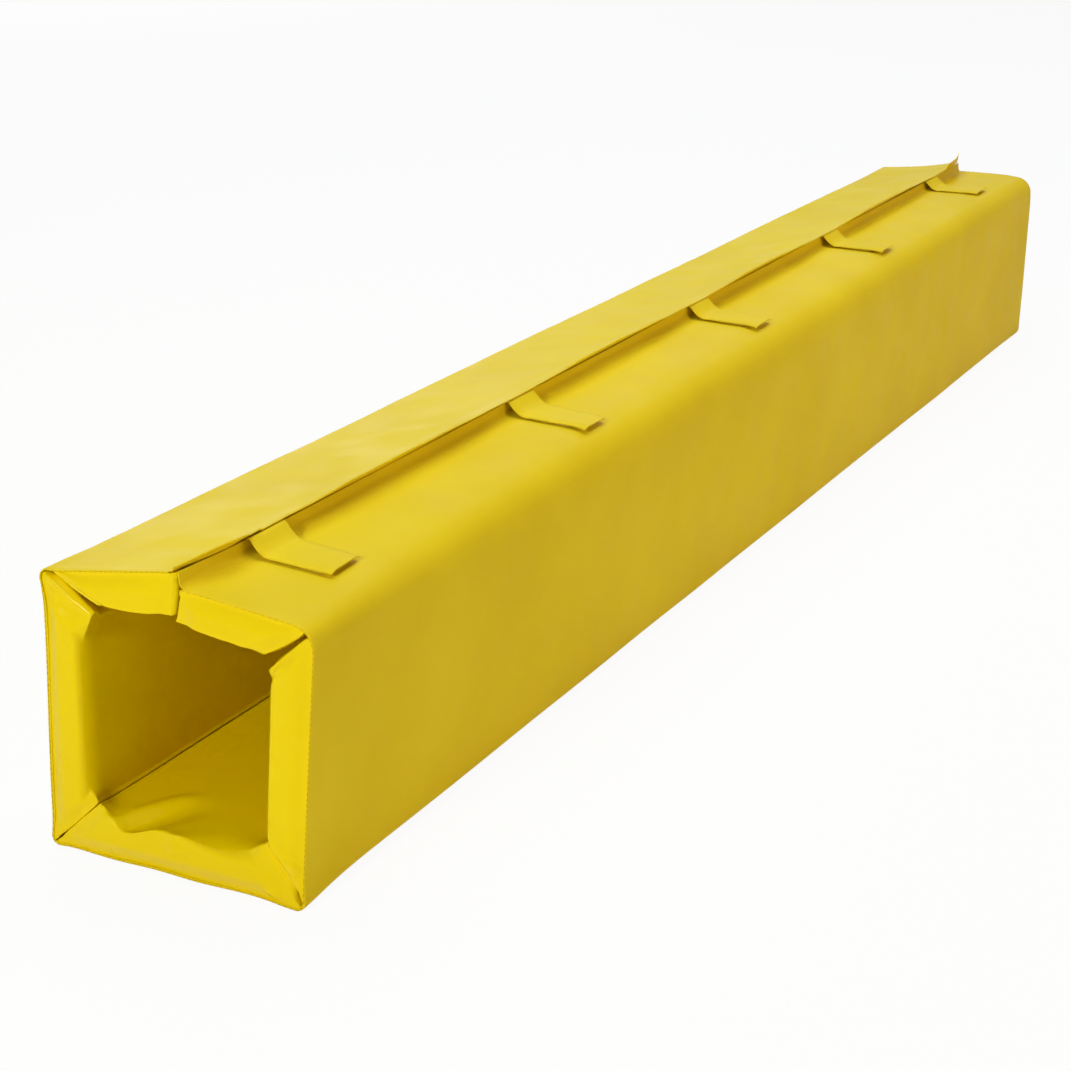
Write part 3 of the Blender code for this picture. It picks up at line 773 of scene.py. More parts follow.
def edge_roundings(panel, share, deep, from_mitre, from_seam, from_end):
    """How widely a block's edges are rounded: along the pad, in depth and across."""
    rounding = END_ROUNDING
    if panel is BOTTOM:
        rounding = END_ROUNDING * (BOTTOM_ROUNDING_SHARE + smooth(share, *BOTTOM_ROUNDING_SHARES))
    if panel.far_slope is not None:
        past_seam = smooth(from_seam, 0.0, SEAM_ROUNDING_WIDTH)
        rounding = SEAM_ROUNDING + (TOP_ROUNDING - SEAM_ROUNDING) * past_seam
    soft_edge = smooth(deep, *SOFT_DEPTHS) * smooth(from_mitre, 0.0, SOFT_WIDTH)
    near_the_end = 1.0 - smooth(from_end, *NEAR_THE_END)
    along = MITRE_ROUNDING + (rounding - MITRE_ROUNDING) * soft_edge
    along = along + (OUTER_ROUNDING - MITRE_ROUNDING) * (1.0 - smooth(deep, *OUTER_DEPTHS))
    inner = EDGE_ROUNDING + (rounding * FACE_ROUNDING_SHARE - EDGE_ROUNDING) * near_the_end * soft_edge
    across = EDGE_ROUNDING + (MITRE_ROUNDING - EDGE_ROUNDING) * near_the_end
    return along, inner, across


def padded_points(panel, stations, inset):
    """Section distances of a padded block: mitred at its folds, with rounded edges and full sides."""
    share, y, deep = stations.T
    y_end = COVER_END - inset
    low_deep = PANEL_THICKNESS - inset
    start = near_side_inset(deep, inset, panel.radii[0])
    if panel.far_slope is None:
        end = panel.width - near_side_inset(deep, inset, panel.radii[1])
    else:
        end = panel.width - deep * panel.far_slope - GAP - inset
    across = start + (end - start) * share
    from_side = np.minimum(across - start, end - across)
    from_mitre = from_side if panel.far_slope is None else across - start
    from_end = y_end - np.abs(y)
    roundings = edge_roundings(panel, share, deep, from_mitre, end - across, from_end)
    reach_y, reach_deep, reach_across = roundings

    # How far a point lies into the rounding of each edge, from 0 where it starts to 1
    below_edge = smooth(deep, *SIDE_DEPTHS)
    into_end = np.clip(1.0 - from_end / reach_y, 0.0, 1.0)
    into_face = np.clip(1.0 - (low_deep - deep) / reach_deep, 0.0, 1.0)
    into_start = np.clip(1.0 - (across - start) / reach_across, 0.0, 1.0) * below_edge
    into_far = np.clip(1.0 - (end - across) / reach_across, 0.0, 1.0) * below_edge
    into_side = np.maximum(into_start, into_far)
    size = np.maximum(1.0, np.sqrt(into_end ** 2 + into_face ** 2 + into_side ** 2))
    on_y = np.where(into_end > 0.0, y_end - reach_y * (1.0 - into_end / size), np.abs(y))
    on_deep = np.where(into_face > 0.0, low_deep - reach_deep * (1.0 - into_face / size), deep)
    on_across = np.where(into_start > 0.0, start + reach_across * (1.0 - into_start / size), across)
    on_across = np.where(into_far > 0.0, end - reach_across * (1.0 - into_far / size), on_across)

    full = smooth(from_side, 0.0, PUFF_WIDTH) * smooth(deep, *PUFF_DEPTHS)
    puff = END_PUFF * full * (into_end / size) ** 2
    hollow = CROWN * (1.0 - dome(share) * dome(0.5 + 0.5 * y / y_end, CROWN_FLAT))
    return on_across, np.sign(y) * (on_y + puff), on_deep - hollow * (into_face / size) ** 2


def make_padded(name, panel, inset, material, mesh, along_stations, layers):
    """A closed padded block that fills one panel, as its cover or as the foam inside it."""
    shares = graded(0.0, panel.width, *mesh, MESH_EDGE, MESH_EDGE) / panel.width
    stations, faces = lattice(shares, along_stations, deep_stations(inset, layers))
    across, along, deep = padded_points(panel, stations, inset)
    section = panel.at(across, deep)
    points = np.stack((section[:, 0], along, section[:, 1]), axis=1)
    return mesh_piece(name, points, faces, material), stations


COVER_ROWS = graded(-COVER_END, COVER_END, *COVER_STEPS)
FOAM_ROWS = graded(-COVER_END + FOAM_INSET, COVER_END - FOAM_INSET, *FOAM_STEPS)

# How the covers' mitred sides are drawn about at the near end, in millimetres across the pad and up: where
# each side's outer corner goes, where its inner corner goes, how late along the mitre the change comes, how
# far the pull reaches into the face, and how the mitred face swells just behind the edge
MITRE_PULLS = {
    ("left", 0): ((0.0, 0.0), (6.0, 6.0), 2.0, 10.0, (0.0, 0.0)),
    ("left", 1): ((-0.5, 4.5), (8.0, 8.5), 2.0, 9.0, (2.5, 5.0)),
    ("bottom", 0): ((0.0, 0.0), (6.0, 6.5), 2.0, 12.0, (0.0, 0.0)),
    ("bottom", 1): ((0.0, 0.0), (7.0, 8.0), 2.0, 12.0, (4.0, 5.0)),
    ("right", 0): ((1.0, 6.5), (5.5, 2.5), 3.0, 12.0, (0.0, 0.0)),
    ("right", 1): ((-0.5, 1.0), (2.5, -3.0), 1.0, 14.0, (0.0, 0.0)),
    ("top_left", 0): ((1.0, 5.5), (9.0, 7.5), 1.0, 24.0, (0.0, 0.0)),
    ("top_right", 0): ((-1.0, 1.5), (1.0, 3.5), 1.0, 20.0, (0.0, 0.0)),
}
PULL_LENGTH = 18.0
PULL_DEPTHS = (0.0, 0.15)
SWELL_START = 6.0
SWELL_LENGTH = 22.0
SWELL_REACH = 5.0
SWELL_DEPTHS = (0.05, 0.35)

# How far a top panel's lower edge is lifted at its fold and at its seam, and its seam side drawn across
TUCKS = {"top_left": (4.0, 3.0), "top_right": (2.5, 11.0)}
TUCK_LENGTH = 20.0
SEAM_LENGTH = 30.0
SEAM_REACH = 8.0
SEAM_SHIFT_AT_END = 3.8
SEAM_SHIFT_BEHIND = 3.6
SEAM_SHIFT_STRETCH = (1.0, 5.0)
SEAM_SHIFT_EASE = 0.7
SEAM_SHIFT_RIGHT = -3.6


def depth_share(deep):
    """0 at a cover's outer face and 1 at its inner one."""
    return np.clip((deep - COVER_START) / (PANEL_THICKNESS - COVER_START), 0.0, 1.0)


def from_near_end(points):
    """How far the points lie from the pad's near end, in millimetres."""
    return (points[:, 1] + LENGTH / 2) / MILLIMETRE


def shift_section(points, across, up):
    """Moves the points across the section and up it by those millimetres."""
    points[:, 0] += across * MILLIMETRE
    points[:, 2] += up * MILLIMETRE


def pulled(panel, stations, points):
    """Draws the mitred corners of a cover's near end apart, together or out over the opening."""
    share, y, deep = stations.T
    depth = depth_share(deep)
    from_end = from_near_end(points)
    for (name, side), (outer, inner, lateness, reach, swell) in MITRE_PULLS.items():
        if name != panel.name:
            continue
        from_side = (share if side == 0 else 1.0 - share) * (panel.width - 2 * deep) / MILLIMETRE
        size = np.exp(-(from_side / reach) ** 2 - (from_end / PULL_LENGTH) ** 2)
        size = size * smooth(depth, *PULL_DEPTHS)
        across, up = (one + (other - one) * depth ** lateness for one, other in zip(outer, inner))
        shift_section(points, across * size, up * size)
        full = smooth(from_end, 0.0, SWELL_START) * bell(from_end, SWELL_LENGTH)
        full = full * bell(from_side, SWELL_REACH) * smooth(depth, *SWELL_DEPTHS)
        shift_section(points, swell[0] * full, swell[1] * full)
    return points


def tucked(panel, stations, points):
    """Lifts the lower edge of a top panel's near end, and draws its seam side towards the other half."""
    if panel.name not in TUCKS:
        return points
    share, y, deep = stations.T
    depth = depth_share(deep)
    from_end = from_near_end(points)
    at_fold, at_seam = TUCKS[panel.name]
    lift = (at_fold + (at_seam - at_fold) * share) * depth ** 2 * bell(from_end, TUCK_LENGTH)
    near_seam = bell((1.0 - share) * panel.width / MILLIMETRE, SEAM_REACH) * bell(from_end, SEAM_LENGTH)
    if panel is TOP_LEFT:
        shift = SEAM_SHIFT_AT_END + SEAM_SHIFT_BEHIND * smooth(from_end, *SEAM_SHIFT_STRETCH)
        shift = shift * (1.0 - SEAM_SHIFT_EASE * depth ** 2)
    else:
        shift = SEAM_SHIFT_RIGHT * depth
    shift_section(points, shift * near_seam, lift)
    return points


def from_path(points, path):
    """Distance in millimetres of each point from a path of straight lines."""
    nearest = np.full(len(points), np.inf)
    for start, end in zip(path[:-1], path[1:]):
        along = end - start
        share = np.clip(((points - start) @ along) / (along @ along), 0.0, 1.0)
        nearest = np.minimum(nearest, np.linalg.norm(points - start - share[:, None] * along, axis=1))
    return nearest


# Folds of each cover's near end: the path in millimetres across, up and in from the end, how far the fold
# reaches beside it, how many millimetres it pushes the vinyl, and True if it is sharp
FOLDS = {
    "left": [([(-98, 213, 0), (-86, 210, 0)], 5.0, (0.0, 1.6, 0.0)),
             ([(-110, 236, 0), (-98, 227, 0), (-83, 217, 0), (-70, 213, 0)], 1.6, (0.0, -2.4, 0.6), True),
             ([(-100, 40, 0), (-80, 47, 2)], 3.0, (0.0, -1.2, 0.6))],
    "bottom": [([(2.0, 36, 0), (-1.0, 27, 0)], 5.0, (0.0, -3.2, 0.6)),
               ([(88, 8, 0), (97, 3, 0)], 3.0, (0.0, -1.5, 0.0))],
    "right": [([(95, 46, 0), (104, 41, 0), (114, 33, 0)], 3.4, (0.0, -2.6, 0.0)),
              ([(107, 197, 0), (109, 199, 0)], 2.4, (0.0, -1.4, 0.0))],
    "top_left": [([(-84, 229, 0), (-62, 220, 0)], 3.0, (0.0, -1.4, 0.6))],
    "top_right": [([(66, 214, 0), (74, 222, 0)], 5.0, (0.0, 1.0, 0.0)),
                  ([(88, 212, 0), (96, 212, 0)], 4.0, (0.0, -1.2, 0.4))],
}

# The hollow, the ridge and the dip in the bottom panel's near edge, in millimetres
HOLLOW_DEPTH = 10.0
HOLLOW_START = (0.0, 14.0)
HOLLOW_END = (15.0, 52.0)
HOLLOW_LENGTH = 58.0
RIDGE_HEIGHT = 2.0
RIDGE_X = -60.0
RIDGE_SLANT = 0.69
RIDGE_REACH = 9.0
RIDGE_START = (4.0, 26.0)
RIDGE_END = (44.0, 66.0)
DIP_DEPTH = 1.5
DIP_X = 36.0
DIP_REACH = 17.0
DIP_LENGTH = 34.0
DENTED_HEIGHTS = (8.0, 40.0)


def fold(points, path, reach, push, sharp=False):
    """Draws the vinyl out along a path, or presses it in."""
    place = points / MILLIMETRE
    near_end = LENGTH / 2 / MILLIMETRE
    path = [np.array((across, inward - near_end, up)) for across, up, inward in path]
    share = from_path(place, path) / reach
    size = np.exp(-share) if sharp else np.exp(-share ** 2)
    return points + size[:, None] * np.array(push) * MILLIMETRE


def dented(points):
    """A hollow behind the bottom panel's near edge, with a ridge on its left and a dip on its right."""
    x, y, z = (points / MILLIMETRE).T
    from_end = y + LENGTH / 2 / MILLIMETRE
    past_ridge = x - (RIDGE_X + RIDGE_SLANT * from_end)
    hollow = smooth(past_ridge, *HOLLOW_START) * (1.0 - smooth(past_ridge, *HOLLOW_END))
    hollow = hollow * (1.0 - smooth(from_end, 0.0, HOLLOW_LENGTH))
    ridge = bell(past_ridge, RIDGE_REACH) * smooth(from_end, *RIDGE_START)
    ridge = ridge * (1.0 - smooth(from_end, *RIDGE_END))
    dip = bell(x - DIP_X, DIP_REACH) * (1.0 - smooth(from_end, 0.0, DIP_LENGTH))
    height = smooth(z, *DENTED_HEIGHTS)
    points[:, 2] += (-HOLLOW_DEPTH * hollow + RIDGE_HEIGHT * ridge - DIP_DEPTH * dip) * height * MILLIMETRE
    return points


def settled_block(panel, stations, points):
    """Where the points of a cover or a core come to rest, with the folds of its near end."""
    points = tucked(panel, stations, pulled(panel, stations, settled(points)))
    if panel is BOTTOM:
        points = dented(points)
    for row in FOLDS[panel.name]:
        points = fold(points, *row)
    return points


def sunk(panel, stations, points):
    """Sets a cover's outer face back behind the rippled skin, except close to the two ends."""
    deep = stations[:, 2]
    from_end = LENGTH / 2 - np.abs(points[:, 1])
    size = COVER_SINK * (1.0 - smooth(deep, *OUTER_DEPTHS)) * smooth(from_end, *SINK_LENGTHS)
    points[:, 0] += panel.inward[0] * size
    points[:, 2] += panel.inward[1] * size
    return points


def make_cover(panel, material):
    """A boxed cover, creased at the near end as it is sewn."""
    name = panel.name + "_padding"
    piece, stations = make_padded(name, panel, 0.0, material, COVER_MESH, COVER_ROWS, COVER_LAYERS)
    points = rows_of(piece)
    pitch, height, seed = COVER_WANDER
    shift = wander(points, pitch, height, seed + PANELS.index(panel))
    points = sunk(panel, stations, points + rows_of(piece, "normal") * shift[:, None])
    move_points(piece, settled_block(panel, stations, points))
    return piece


def make_foam(panel, material):
    """The foam core inside a cover, a little shorter than it and kept back from the folds."""
    name = panel.name + "_foam_core"
    piece, stations = make_padded(name, panel, FOAM_INSET, material, FOAM_MESH, FOAM_ROWS, FOAM_LAYERS)
    points = rows_of(piece)
    points[:, 1] *= 1.0 - FOAM_SHORT
    move_points(piece, settled_block(panel, stations, points))
    return piece


# Straps and their patches
def laid_sheet(name, points, material, thickness):
    """A sheet over a grid of points of its upper side, brought to where it rests on the pad."""
    ids = np.arange(points.size // 3).reshape(points.shape[:2])
    piece = mesh_piece(name, points.reshape(-1, 3), quads(ids), material)
    face_outward(piece, (0, 0, 1))
    move_points(piece, settled(rows_of(piece)))
    thicken(piece, thickness)
    return piece


def strap_top(x, y, off_centre):
    """Height of a strap's upper side: under the lip, down the drop, flat, then lifted at the tip."""
    sag = smooth(np.abs(off_centre), *STRAP_SAG_SIDE)
    past_patch = smooth(x, PATCH_START - STRAP_BACK_LENGTH, PATCH_START)
    stack = STRAP_FLOAT - STRAP_EDGE_SAG * sag - STRAP_BACK_SAG * (1.0 - past_patch)
    flat = right_top(x) + stack / TOP_RIGHT_COSINE
    reach = np.minimum(x - SEAM_X, LIP_OVERHANG)
    root = lip_height(reach, y) - LIP_THICKNESS - GAP
    share = np.clip((x - STRAP_FALL_START) / (STRAP_FALL_END - STRAP_FALL_START), 0.0, 1.0)
    fall = 1.0 - (1.0 - share) ** STRAP_FALL_CURVE
    tip = np.maximum(0.0, (x - STRAP_TIP_X + STRAP_TIP_LENGTH) / STRAP_TIP_LENGTH)
    return root + (flat - root) * fall + STRAP_TIP_LIFT * tip ** STRAP_TIP_CURVE


def make_strap(number, y, reach, material):
    """A strap from its root under the lip to its tip, a little narrower towards the tip."""
    stations = np.linspace(STRAP_HINGE_X - STRAP_ROOT, STRAP_HINGE_X + reach, STRAP_CUTS[0])
    edges = np.linspace(-STRAP_WIDTH / 2, STRAP_WIDTH / 2, STRAP_CUTS[1])
    x, off = np.meshgrid(stations, edges, indexing="ij")
    narrowed = 1.0 - STRAP_TAPER * smooth(x, STRAP_HINGE_X, STRAP_TIP_X)
    points = np.stack((x, y + off * narrowed, strap_top(x, y, off)), axis=-1)
    return laid_sheet(f"strap_{number}_webbing", points, material, STRAP_THICKNESS)


def make_patch(name, y, layer, material):
    """A hook or loop patch with rounded corners, a number of layers above the top right panel."""
    half = np.array((PATCH_LENGTH / 2, PATCH_WIDTH / 2))
    shares = np.linspace(-1.0, 1.0, PATCH_CUTS)
    u, v = np.meshgrid(shares, shares, indexing="ij")
    over = np.maximum(0.0, np.abs(u) + np.abs(v) - (2.0 - PATCH_CORNER)) * 0.5
    x = PATCH_X + np.sign(u) * (np.abs(u) - over) * half[0]
    along = y + np.sign(v) * (np.abs(v) - over) * half[1]
    height = right_top(x) + GAP + PATCH_THICKNESS + layer * STACK_STEP
    return laid_sheet(name, np.stack((x, along, height), axis=-1), material, PATCH_THICKNESS)


# Stitches
def stitch_mesh(centres, along, outward):
    """Short rounded stitches at those centres, lying along the border."""
    ring = 6
    profile = [(-0.5, 0.05), (-0.42, 0.7), (-0.2, 1.0), (0.2, 1.0), (0.42, 0.7), (0.5, 0.05)]
    points = []
    faces = []
    for centre, direction, normal in zip(centres, along, outward):
        side = np.cross(direction, normal)
        first = len(points)
        for place, width in profile:
            for step in range(ring):
                angle = 2 * math.pi * step / ring
                radial = (math.cos(angle) * side + math.sin(angle) * normal) * STITCH_RADIUS * width
                points.append(centre + direction * STITCH_LENGTH * place + radial)
        for row in range(len(profile) - 1):
            for step in range(ring):
                a = first + row * ring + step
                b = first + row * ring + (step + 1) % ring
                faces.append((a, b, b + ring, a + ring))
        faces.append(tuple(first + step for step in range(ring)))
        last = first + (len(profile) - 1) * ring
        faces.append(tuple(last + step for step in range(ring)))
    return points, faces


def make_stitching(skin_name, material):
    """The row of stitches that holds a skin's two rolled ends to the covers."""
    line, side = SKIN_LINES[skin_name]
    roll, border = rolled_edge(line)
    inset = roll * STITCH_ON_ROLL + border * STITCH_ON_BORDER
    path = line - line_normals(line, side) * inset[:, None]
    lengths = np.concatenate(([0.0], np.cumsum(np.linalg.norm(np.diff(path, axis=0), axis=1))))
    places = np.arange(STITCH_PITCH / 2, lengths[-1], STITCH_PITCH)
    x = np.interp(places, lengths, path[:, 0])
    z = np.interp(places, lengths, path[:, 1])
    step = np.stack((np.gradient(x), np.zeros(len(x)), np.gradient(z)), axis=1)
    step /= np.linalg.norm(step, axis=1)[:, None]
    points = []
    faces = []
    for end in (-1.0, 1.0):
        centres = np.stack((x, np.full(len(x), end * (SKIN_END + STITCH_STAND)), z), axis=1)
        if skin_name == "skin_top_right":
            centres = drawn_to_seam(centres)
        centres = settled(centres)
        out = np.tile((0.0, end, 0.0), (len(x), 1))
        made, cells = stitch_mesh(centres, step, out)
        faces += [tuple(corner + len(points) for corner in cell) for cell in cells]
        points += made
    return mesh_piece("stitches_" + skin_name[5:], points, faces, material)


# Patterns of the materials: how many tone patches and handling marks a metre of cloth has, and how far
# apart the others repeat
TONE_PATCHES = 7.0
HANDLING_MARKS = 26.0
GRAIN_PITCH = 1.1 * MILLIMETRE
FOAM_CELL_PITCH = 1.5 * MILLIMETRE
HOOK_PITCH = 1.4 * MILLIMETRE
LOOP_PITCH = 0.9 * MILLIMETRE
STRAND_PITCH = 0.6 * MILLIMETRE

# Which inputs and which output of the mixing node are its two colours and their mix
FIRST_COLOUR = 6
SECOND_COLOUR = 7
MIXED_COLOUR = 2


# Materials
def linear(colour):
    """An sRGB hex colour as Blender's linear values."""
    parts = [int(colour[place:place + 2], 16) / 255 for place in (1, 3, 5)]
    return [part / 12.92 if part <= 0.04045 else ((part + 0.055) / 1.055) ** 2.4 for part in parts] + [1.0]


def add(tree, kind, settings=None, links=None):
    """Adds a node, sets its values and joins its inputs."""
    made = tree.nodes.new("ShaderNode" + kind)
    for name, value in (settings or {}).items():
        if isinstance(name, int) or name in made.inputs:
            made.inputs[name].default_value = value
        else:
            setattr(made, name, value)
    for name, source in (links or {}).items():
        tree.links.new(source, made.inputs[name])
    return made


def new_material(name):
    """An empty material, its node tree and output, and the piece's own coordinates for its patterns."""
    material = bpy.data.materials.new(name)
    material.use_nodes = True
    tree = material.node_tree
    tree.nodes.clear()
    output = add(tree, "OutputMaterial")
    place = add(tree, "TexCoord").outputs["Object"]
    return material, tree, output, place


def coated_fabric(name, pale, deep, roughness, grain_height, specular, coat):
    """Polyester cloth coated with calendered PVC: an even saturated colour under a satin film,
    with a fine embossed grain and faint handling marks that break up its sheen. The skin's and the straps'
    colours are paled by a little white that is painted sheen of that film."""
    material, tree, output, place = new_material(name)
    patches = add(tree, "TexNoise", {"Scale": TONE_PATCHES, "Detail": 3.0, "Roughness": 0.55},
                  {"Vector": place})
    marks = add(tree, "TexNoise", {"Scale": HANDLING_MARKS, "Detail": 1.5, "Roughness": 0.4},
                {"Vector": place})
    grain = add(tree, "TexVoronoi", {"Scale": 1 / GRAIN_PITCH, "feature": "SMOOTH_F1"}, {"Vector": place})
    tone = add(tree, "MapRange", {"From Min": 0.3, "From Max": 0.7}, {"Value": patches.outputs["Fac"]})
    colour = add(tree, "Mix", {"data_type": "RGBA", FIRST_COLOUR: linear(deep),
                               SECOND_COLOUR: linear(pale)}, {0: tone.outputs["Result"]})
    rough = add(tree, "MapRange", {"From Min": 0.3, "From Max": 0.7, "To Min": roughness - 0.05,
                                   "To Max": roughness + 0.05}, {"Value": marks.outputs["Fac"]})
    crease = add(tree, "Bump", {"Strength": 0.30, "Distance": 0.0008}, {"Height": marks.outputs["Fac"]})
    emboss = add(tree, "Bump", {"Strength": grain_height, "Distance": 0.00005},
                 {"Height": grain.outputs["Distance"], "Normal": crease.outputs["Normal"]})
    shader = add(tree, "BsdfPrincipled",
                 {"Specular IOR Level": specular, "Coat Weight": coat, "Coat Roughness": 0.08,
                  "Coat IOR": 1.4},
                 {"Base Color": colour.outputs[MIXED_COLOUR], "Roughness": rough.outputs["Result"],
                  "Normal": emboss.outputs["Normal"]})
    tree.links.new(shader.outputs["BSDF"], output.inputs["Surface"])
    return material


def closed_cell_foam(name):
    """Closed-cell polyethylene foam, sliced from a block: mid grey, matt, pitted by the cells cut open,
    with painted shade in the pits.
    """
    material, tree, output, place = new_material(name)
    cells = add(tree, "TexVoronoi", {"Scale": 1 / FOAM_CELL_PITCH}, {"Vector": place})
    # The darker grey falls in the hollows of the cut cells: painted shade in the pits.
    colour = add(tree, "Mix", {"data_type": "RGBA", FIRST_COLOUR: linear("#6E6E6C"),
                               SECOND_COLOUR: linear("#8C8C88")}, {0: cells.outputs["Distance"]})
    dents = add(tree, "Bump", {"Strength": 0.6, "Distance": 0.0004}, {"Height": cells.outputs["Distance"]})
    shader = add(tree, "BsdfPrincipled", {"Roughness": 0.9, "Specular IOR Level": 0.3},
                 {"Base Color": colour.outputs[MIXED_COLOUR], "Normal": dents.outputs["Normal"]})
    tree.links.new(shader.outputs["BSDF"], output.inputs["Surface"])
    return material


def nylon_tape(name, dark, light, pitch, height):
    """Woven nylon tape with a field of hooks or loops: tiny tips lightened as painted highlight, and the
    ground between them darkened as painted shade.
    """
    material, tree, output, place = new_material(name)
    tufts = add(tree, "TexVoronoi", {"Scale": 1 / pitch, "Randomness": 0.35}, {"Vector": place})
    # The raised tips take the lighter colour and the ground between them the darker: painted highlight and
    # painted shade.
    colour = add(tree, "Mix", {"data_type": "RGBA", FIRST_COLOUR: linear(light),
                               SECOND_COLOUR: linear(dark)}, {0: tufts.outputs["Distance"]})
    relief = add(tree, "Bump", {"Strength": 0.8, "Distance": height, "invert": True},
                 {"Height": tufts.outputs["Distance"]})
    shader = add(tree, "BsdfPrincipled", {"Roughness": 0.75, "Sheen Weight": 0.25, "Sheen Roughness": 0.4},
                 {"Base Color": colour.outputs[MIXED_COLOUR], "Normal": relief.outputs["Normal"]})
    tree.links.new(shader.outputs["BSDF"], output.inputs["Surface"])
    return material


def sewing_thread(name):
    """Bonded polyester thread, twisted, with a soft shine: its fine slanting strands carry painted sheen on
    their crowns and painted shade between them. It is darker than the skin, partly its own colour and
    partly painted shade of the thin line along the skin's border.
    """
    material, tree, output, place = new_material(name)
    strands = add(tree, "TexWave", {"Scale": 1 / STRAND_PITCH, "Distortion": 0.4}, {"Vector": place})
    # The strands' crowns take the lighter yellow and their grooves the darker: painted sheen and painted
    # shade.
    colour = add(tree, "Mix", {"data_type": "RGBA", FIRST_COLOUR: linear("#CFA800"),
                               SECOND_COLOUR: linear("#DDB808")}, {0: strands.outputs["Fac"]})
    twist = add(tree, "Bump", {"Strength": 0.5, "Distance": 0.0001}, {"Height": strands.outputs["Fac"]})
    shader = add(tree, "BsdfPrincipled", {"Roughness": 0.6, "Specular IOR Level": 0.1},
                 {"Base Color": colour.outputs[MIXED_COLOUR], "Normal": twist.outputs["Normal"]})
    tree.links.new(shader.outputs["BSDF"], output.inputs["Surface"])
    return material


# Camera, floor and light
CAMERA_PLACE = Vector((0.9701, -2.2416, 0.8381))
CAMERA_AZIMUTH = 27.517
CAMERA_ELEVATION = 19.638
CAMERA_ROLL = 0.221
CAMERA_LENS = 73.45
SENSOR = 36.0
FLOOR_HALF = 9.0
FLOOR_HEIGHT = -0.0053
FLOOR_GLOW = 0.94
ROOM_LIGHT = 0.02


def make_camera():
    """The camera that took the photograph, from the place, the direction and the lens that fit it."""
    camera = bpy.data.objects.new("photo_camera", bpy.data.cameras.new("photo_camera"))
    bpy.context.scene.collection.objects.link(camera)
    camera.data.lens = CAMERA_LENS
    camera.data.sensor_width = SENSOR
    camera.data.clip_start = 0.05
    camera.data.clip_end = 60.0
    azimuth = math.radians(CAMERA_AZIMUTH)
    rise = math.radians(CAMERA_ELEVATION)
    back = Vector((math.sin(azimuth) * math.cos(rise), -math.cos(azimuth) * math.cos(rise), math.sin(rise)))
    right = (-back).cross(Vector((0, 0, 1))).normalized()
    down = (-back).cross(right)
    roll = math.radians(CAMERA_ROLL)
    x_axis = math.cos(roll) * right + math.sin(roll) * down
    y_axis = math.sin(roll) * right - math.cos(roll) * down
    turn = camera.matrix_world.copy()
    for row in range(3):
        turn[row][0] = x_axis[row]
        turn[row][1] = y_axis[row]
        turn[row][2] = back[row]
        turn[row][3] = CAMERA_PLACE[row]
    camera.matrix_world = turn
    bpy.context.scene.camera = camera


def seen_directly(tree):
    """1 for rays from the camera and for those that a shiny or clear surface sends on."""
    path = add(tree, "LightPath")
    both = add(tree, "Math", {"operation": "MAXIMUM"},
               {0: path.outputs["Is Camera Ray"], 1: path.outputs["Is Glossy Ray"]})
    return add(tree, "Math", {"operation": "MAXIMUM"},
               {0: both.outputs[0], 1: path.outputs["Is Transmission Ray"]}).outputs[0]


def make_floor():
    """The floor round the pad, just below the lowest point of its near rim."""
    corners = [(-1, -1), (1, -1), (1, 1), (-1, 1)]
    points = [(x * FLOOR_HALF, y * FLOOR_HALF, 0) for x, y in corners]
    floor = mesh_piece("floor", points, [(0, 1, 2, 3)], studio_floor(), False)
    floor.location.z = FLOOR_HEIGHT


def studio_floor():
    """Painted studio floor: white, with just a trace of the pad's shadow."""
    material, tree, output, place = new_material("painted_studio_floor")
    mottle = add(tree, "TexNoise", {"Scale": 3.0, "Detail": 2.0}, {"Vector": place})
    colour = add(tree, "Mix", {"data_type": "RGBA", FIRST_COLOUR: linear("#F2F2F2"),
                               SECOND_COLOUR: linear("#F6F6F6")}, {0: mottle.outputs["Fac"]})
    paint = add(tree, "BsdfDiffuse", {}, {"Color": colour.outputs[MIXED_COLOUR]})
    glow = add(tree, "Emission", {"Color": (1, 1, 1, 1), "Strength": 1.0})
    share = add(tree, "Math", {"operation": "MULTIPLY", 1: FLOOR_GLOW}, {0: seen_directly(tree)})
    mix = add(tree, "MixShader", {}, {0: share.outputs[0], 1: paint.outputs[0], 2: glow.outputs[0]})
    tree.links.new(mix.outputs[0], output.inputs["Surface"])
    return material


def make_world():
    """A white room, as it is seen and reflected, that sheds hardly any light on the pad."""
    world = bpy.data.worlds.new("studio")
    world.use_nodes = True
    bpy.context.scene.world = world
    tree = world.node_tree
    tree.nodes.clear()
    output = add(tree, "OutputWorld")
    dim = add(tree, "Background", {"Color": linear("#FFFDF8"), "Strength": ROOM_LIGHT})
    white = add(tree, "Background", {"Color": linear("#FFFFFF"), "Strength": 1.0})
    room = add(tree, "MixShader", {}, {0: seen_directly(tree), 1: dim.outputs[0], 2: white.outputs[0]})
    tree.links.new(room.outputs[0], output.inputs["Surface"])


def make_lamp(name, place, target, width, height, strength, colour="#FFFFFF"):
    """A rectangular lamp of that size in metres and strength in watts, aimed at the target."""
    data = bpy.data.lights.new(name, "AREA")
    data.shape = "RECTANGLE"
    data.size = width
    data.size_y = height
    data.energy = strength
    data.color = linear(colour)[:3]
    lamp = bpy.data.objects.new(name, data)
    bpy.context.scene.collection.objects.link(lamp)
    lamp.location = place
    aim = Vector(target) - Vector(place)
    lamp.rotation_mode = "QUATERNION"
    lamp.rotation_quaternion = aim.to_track_quat("-Z", "Y")


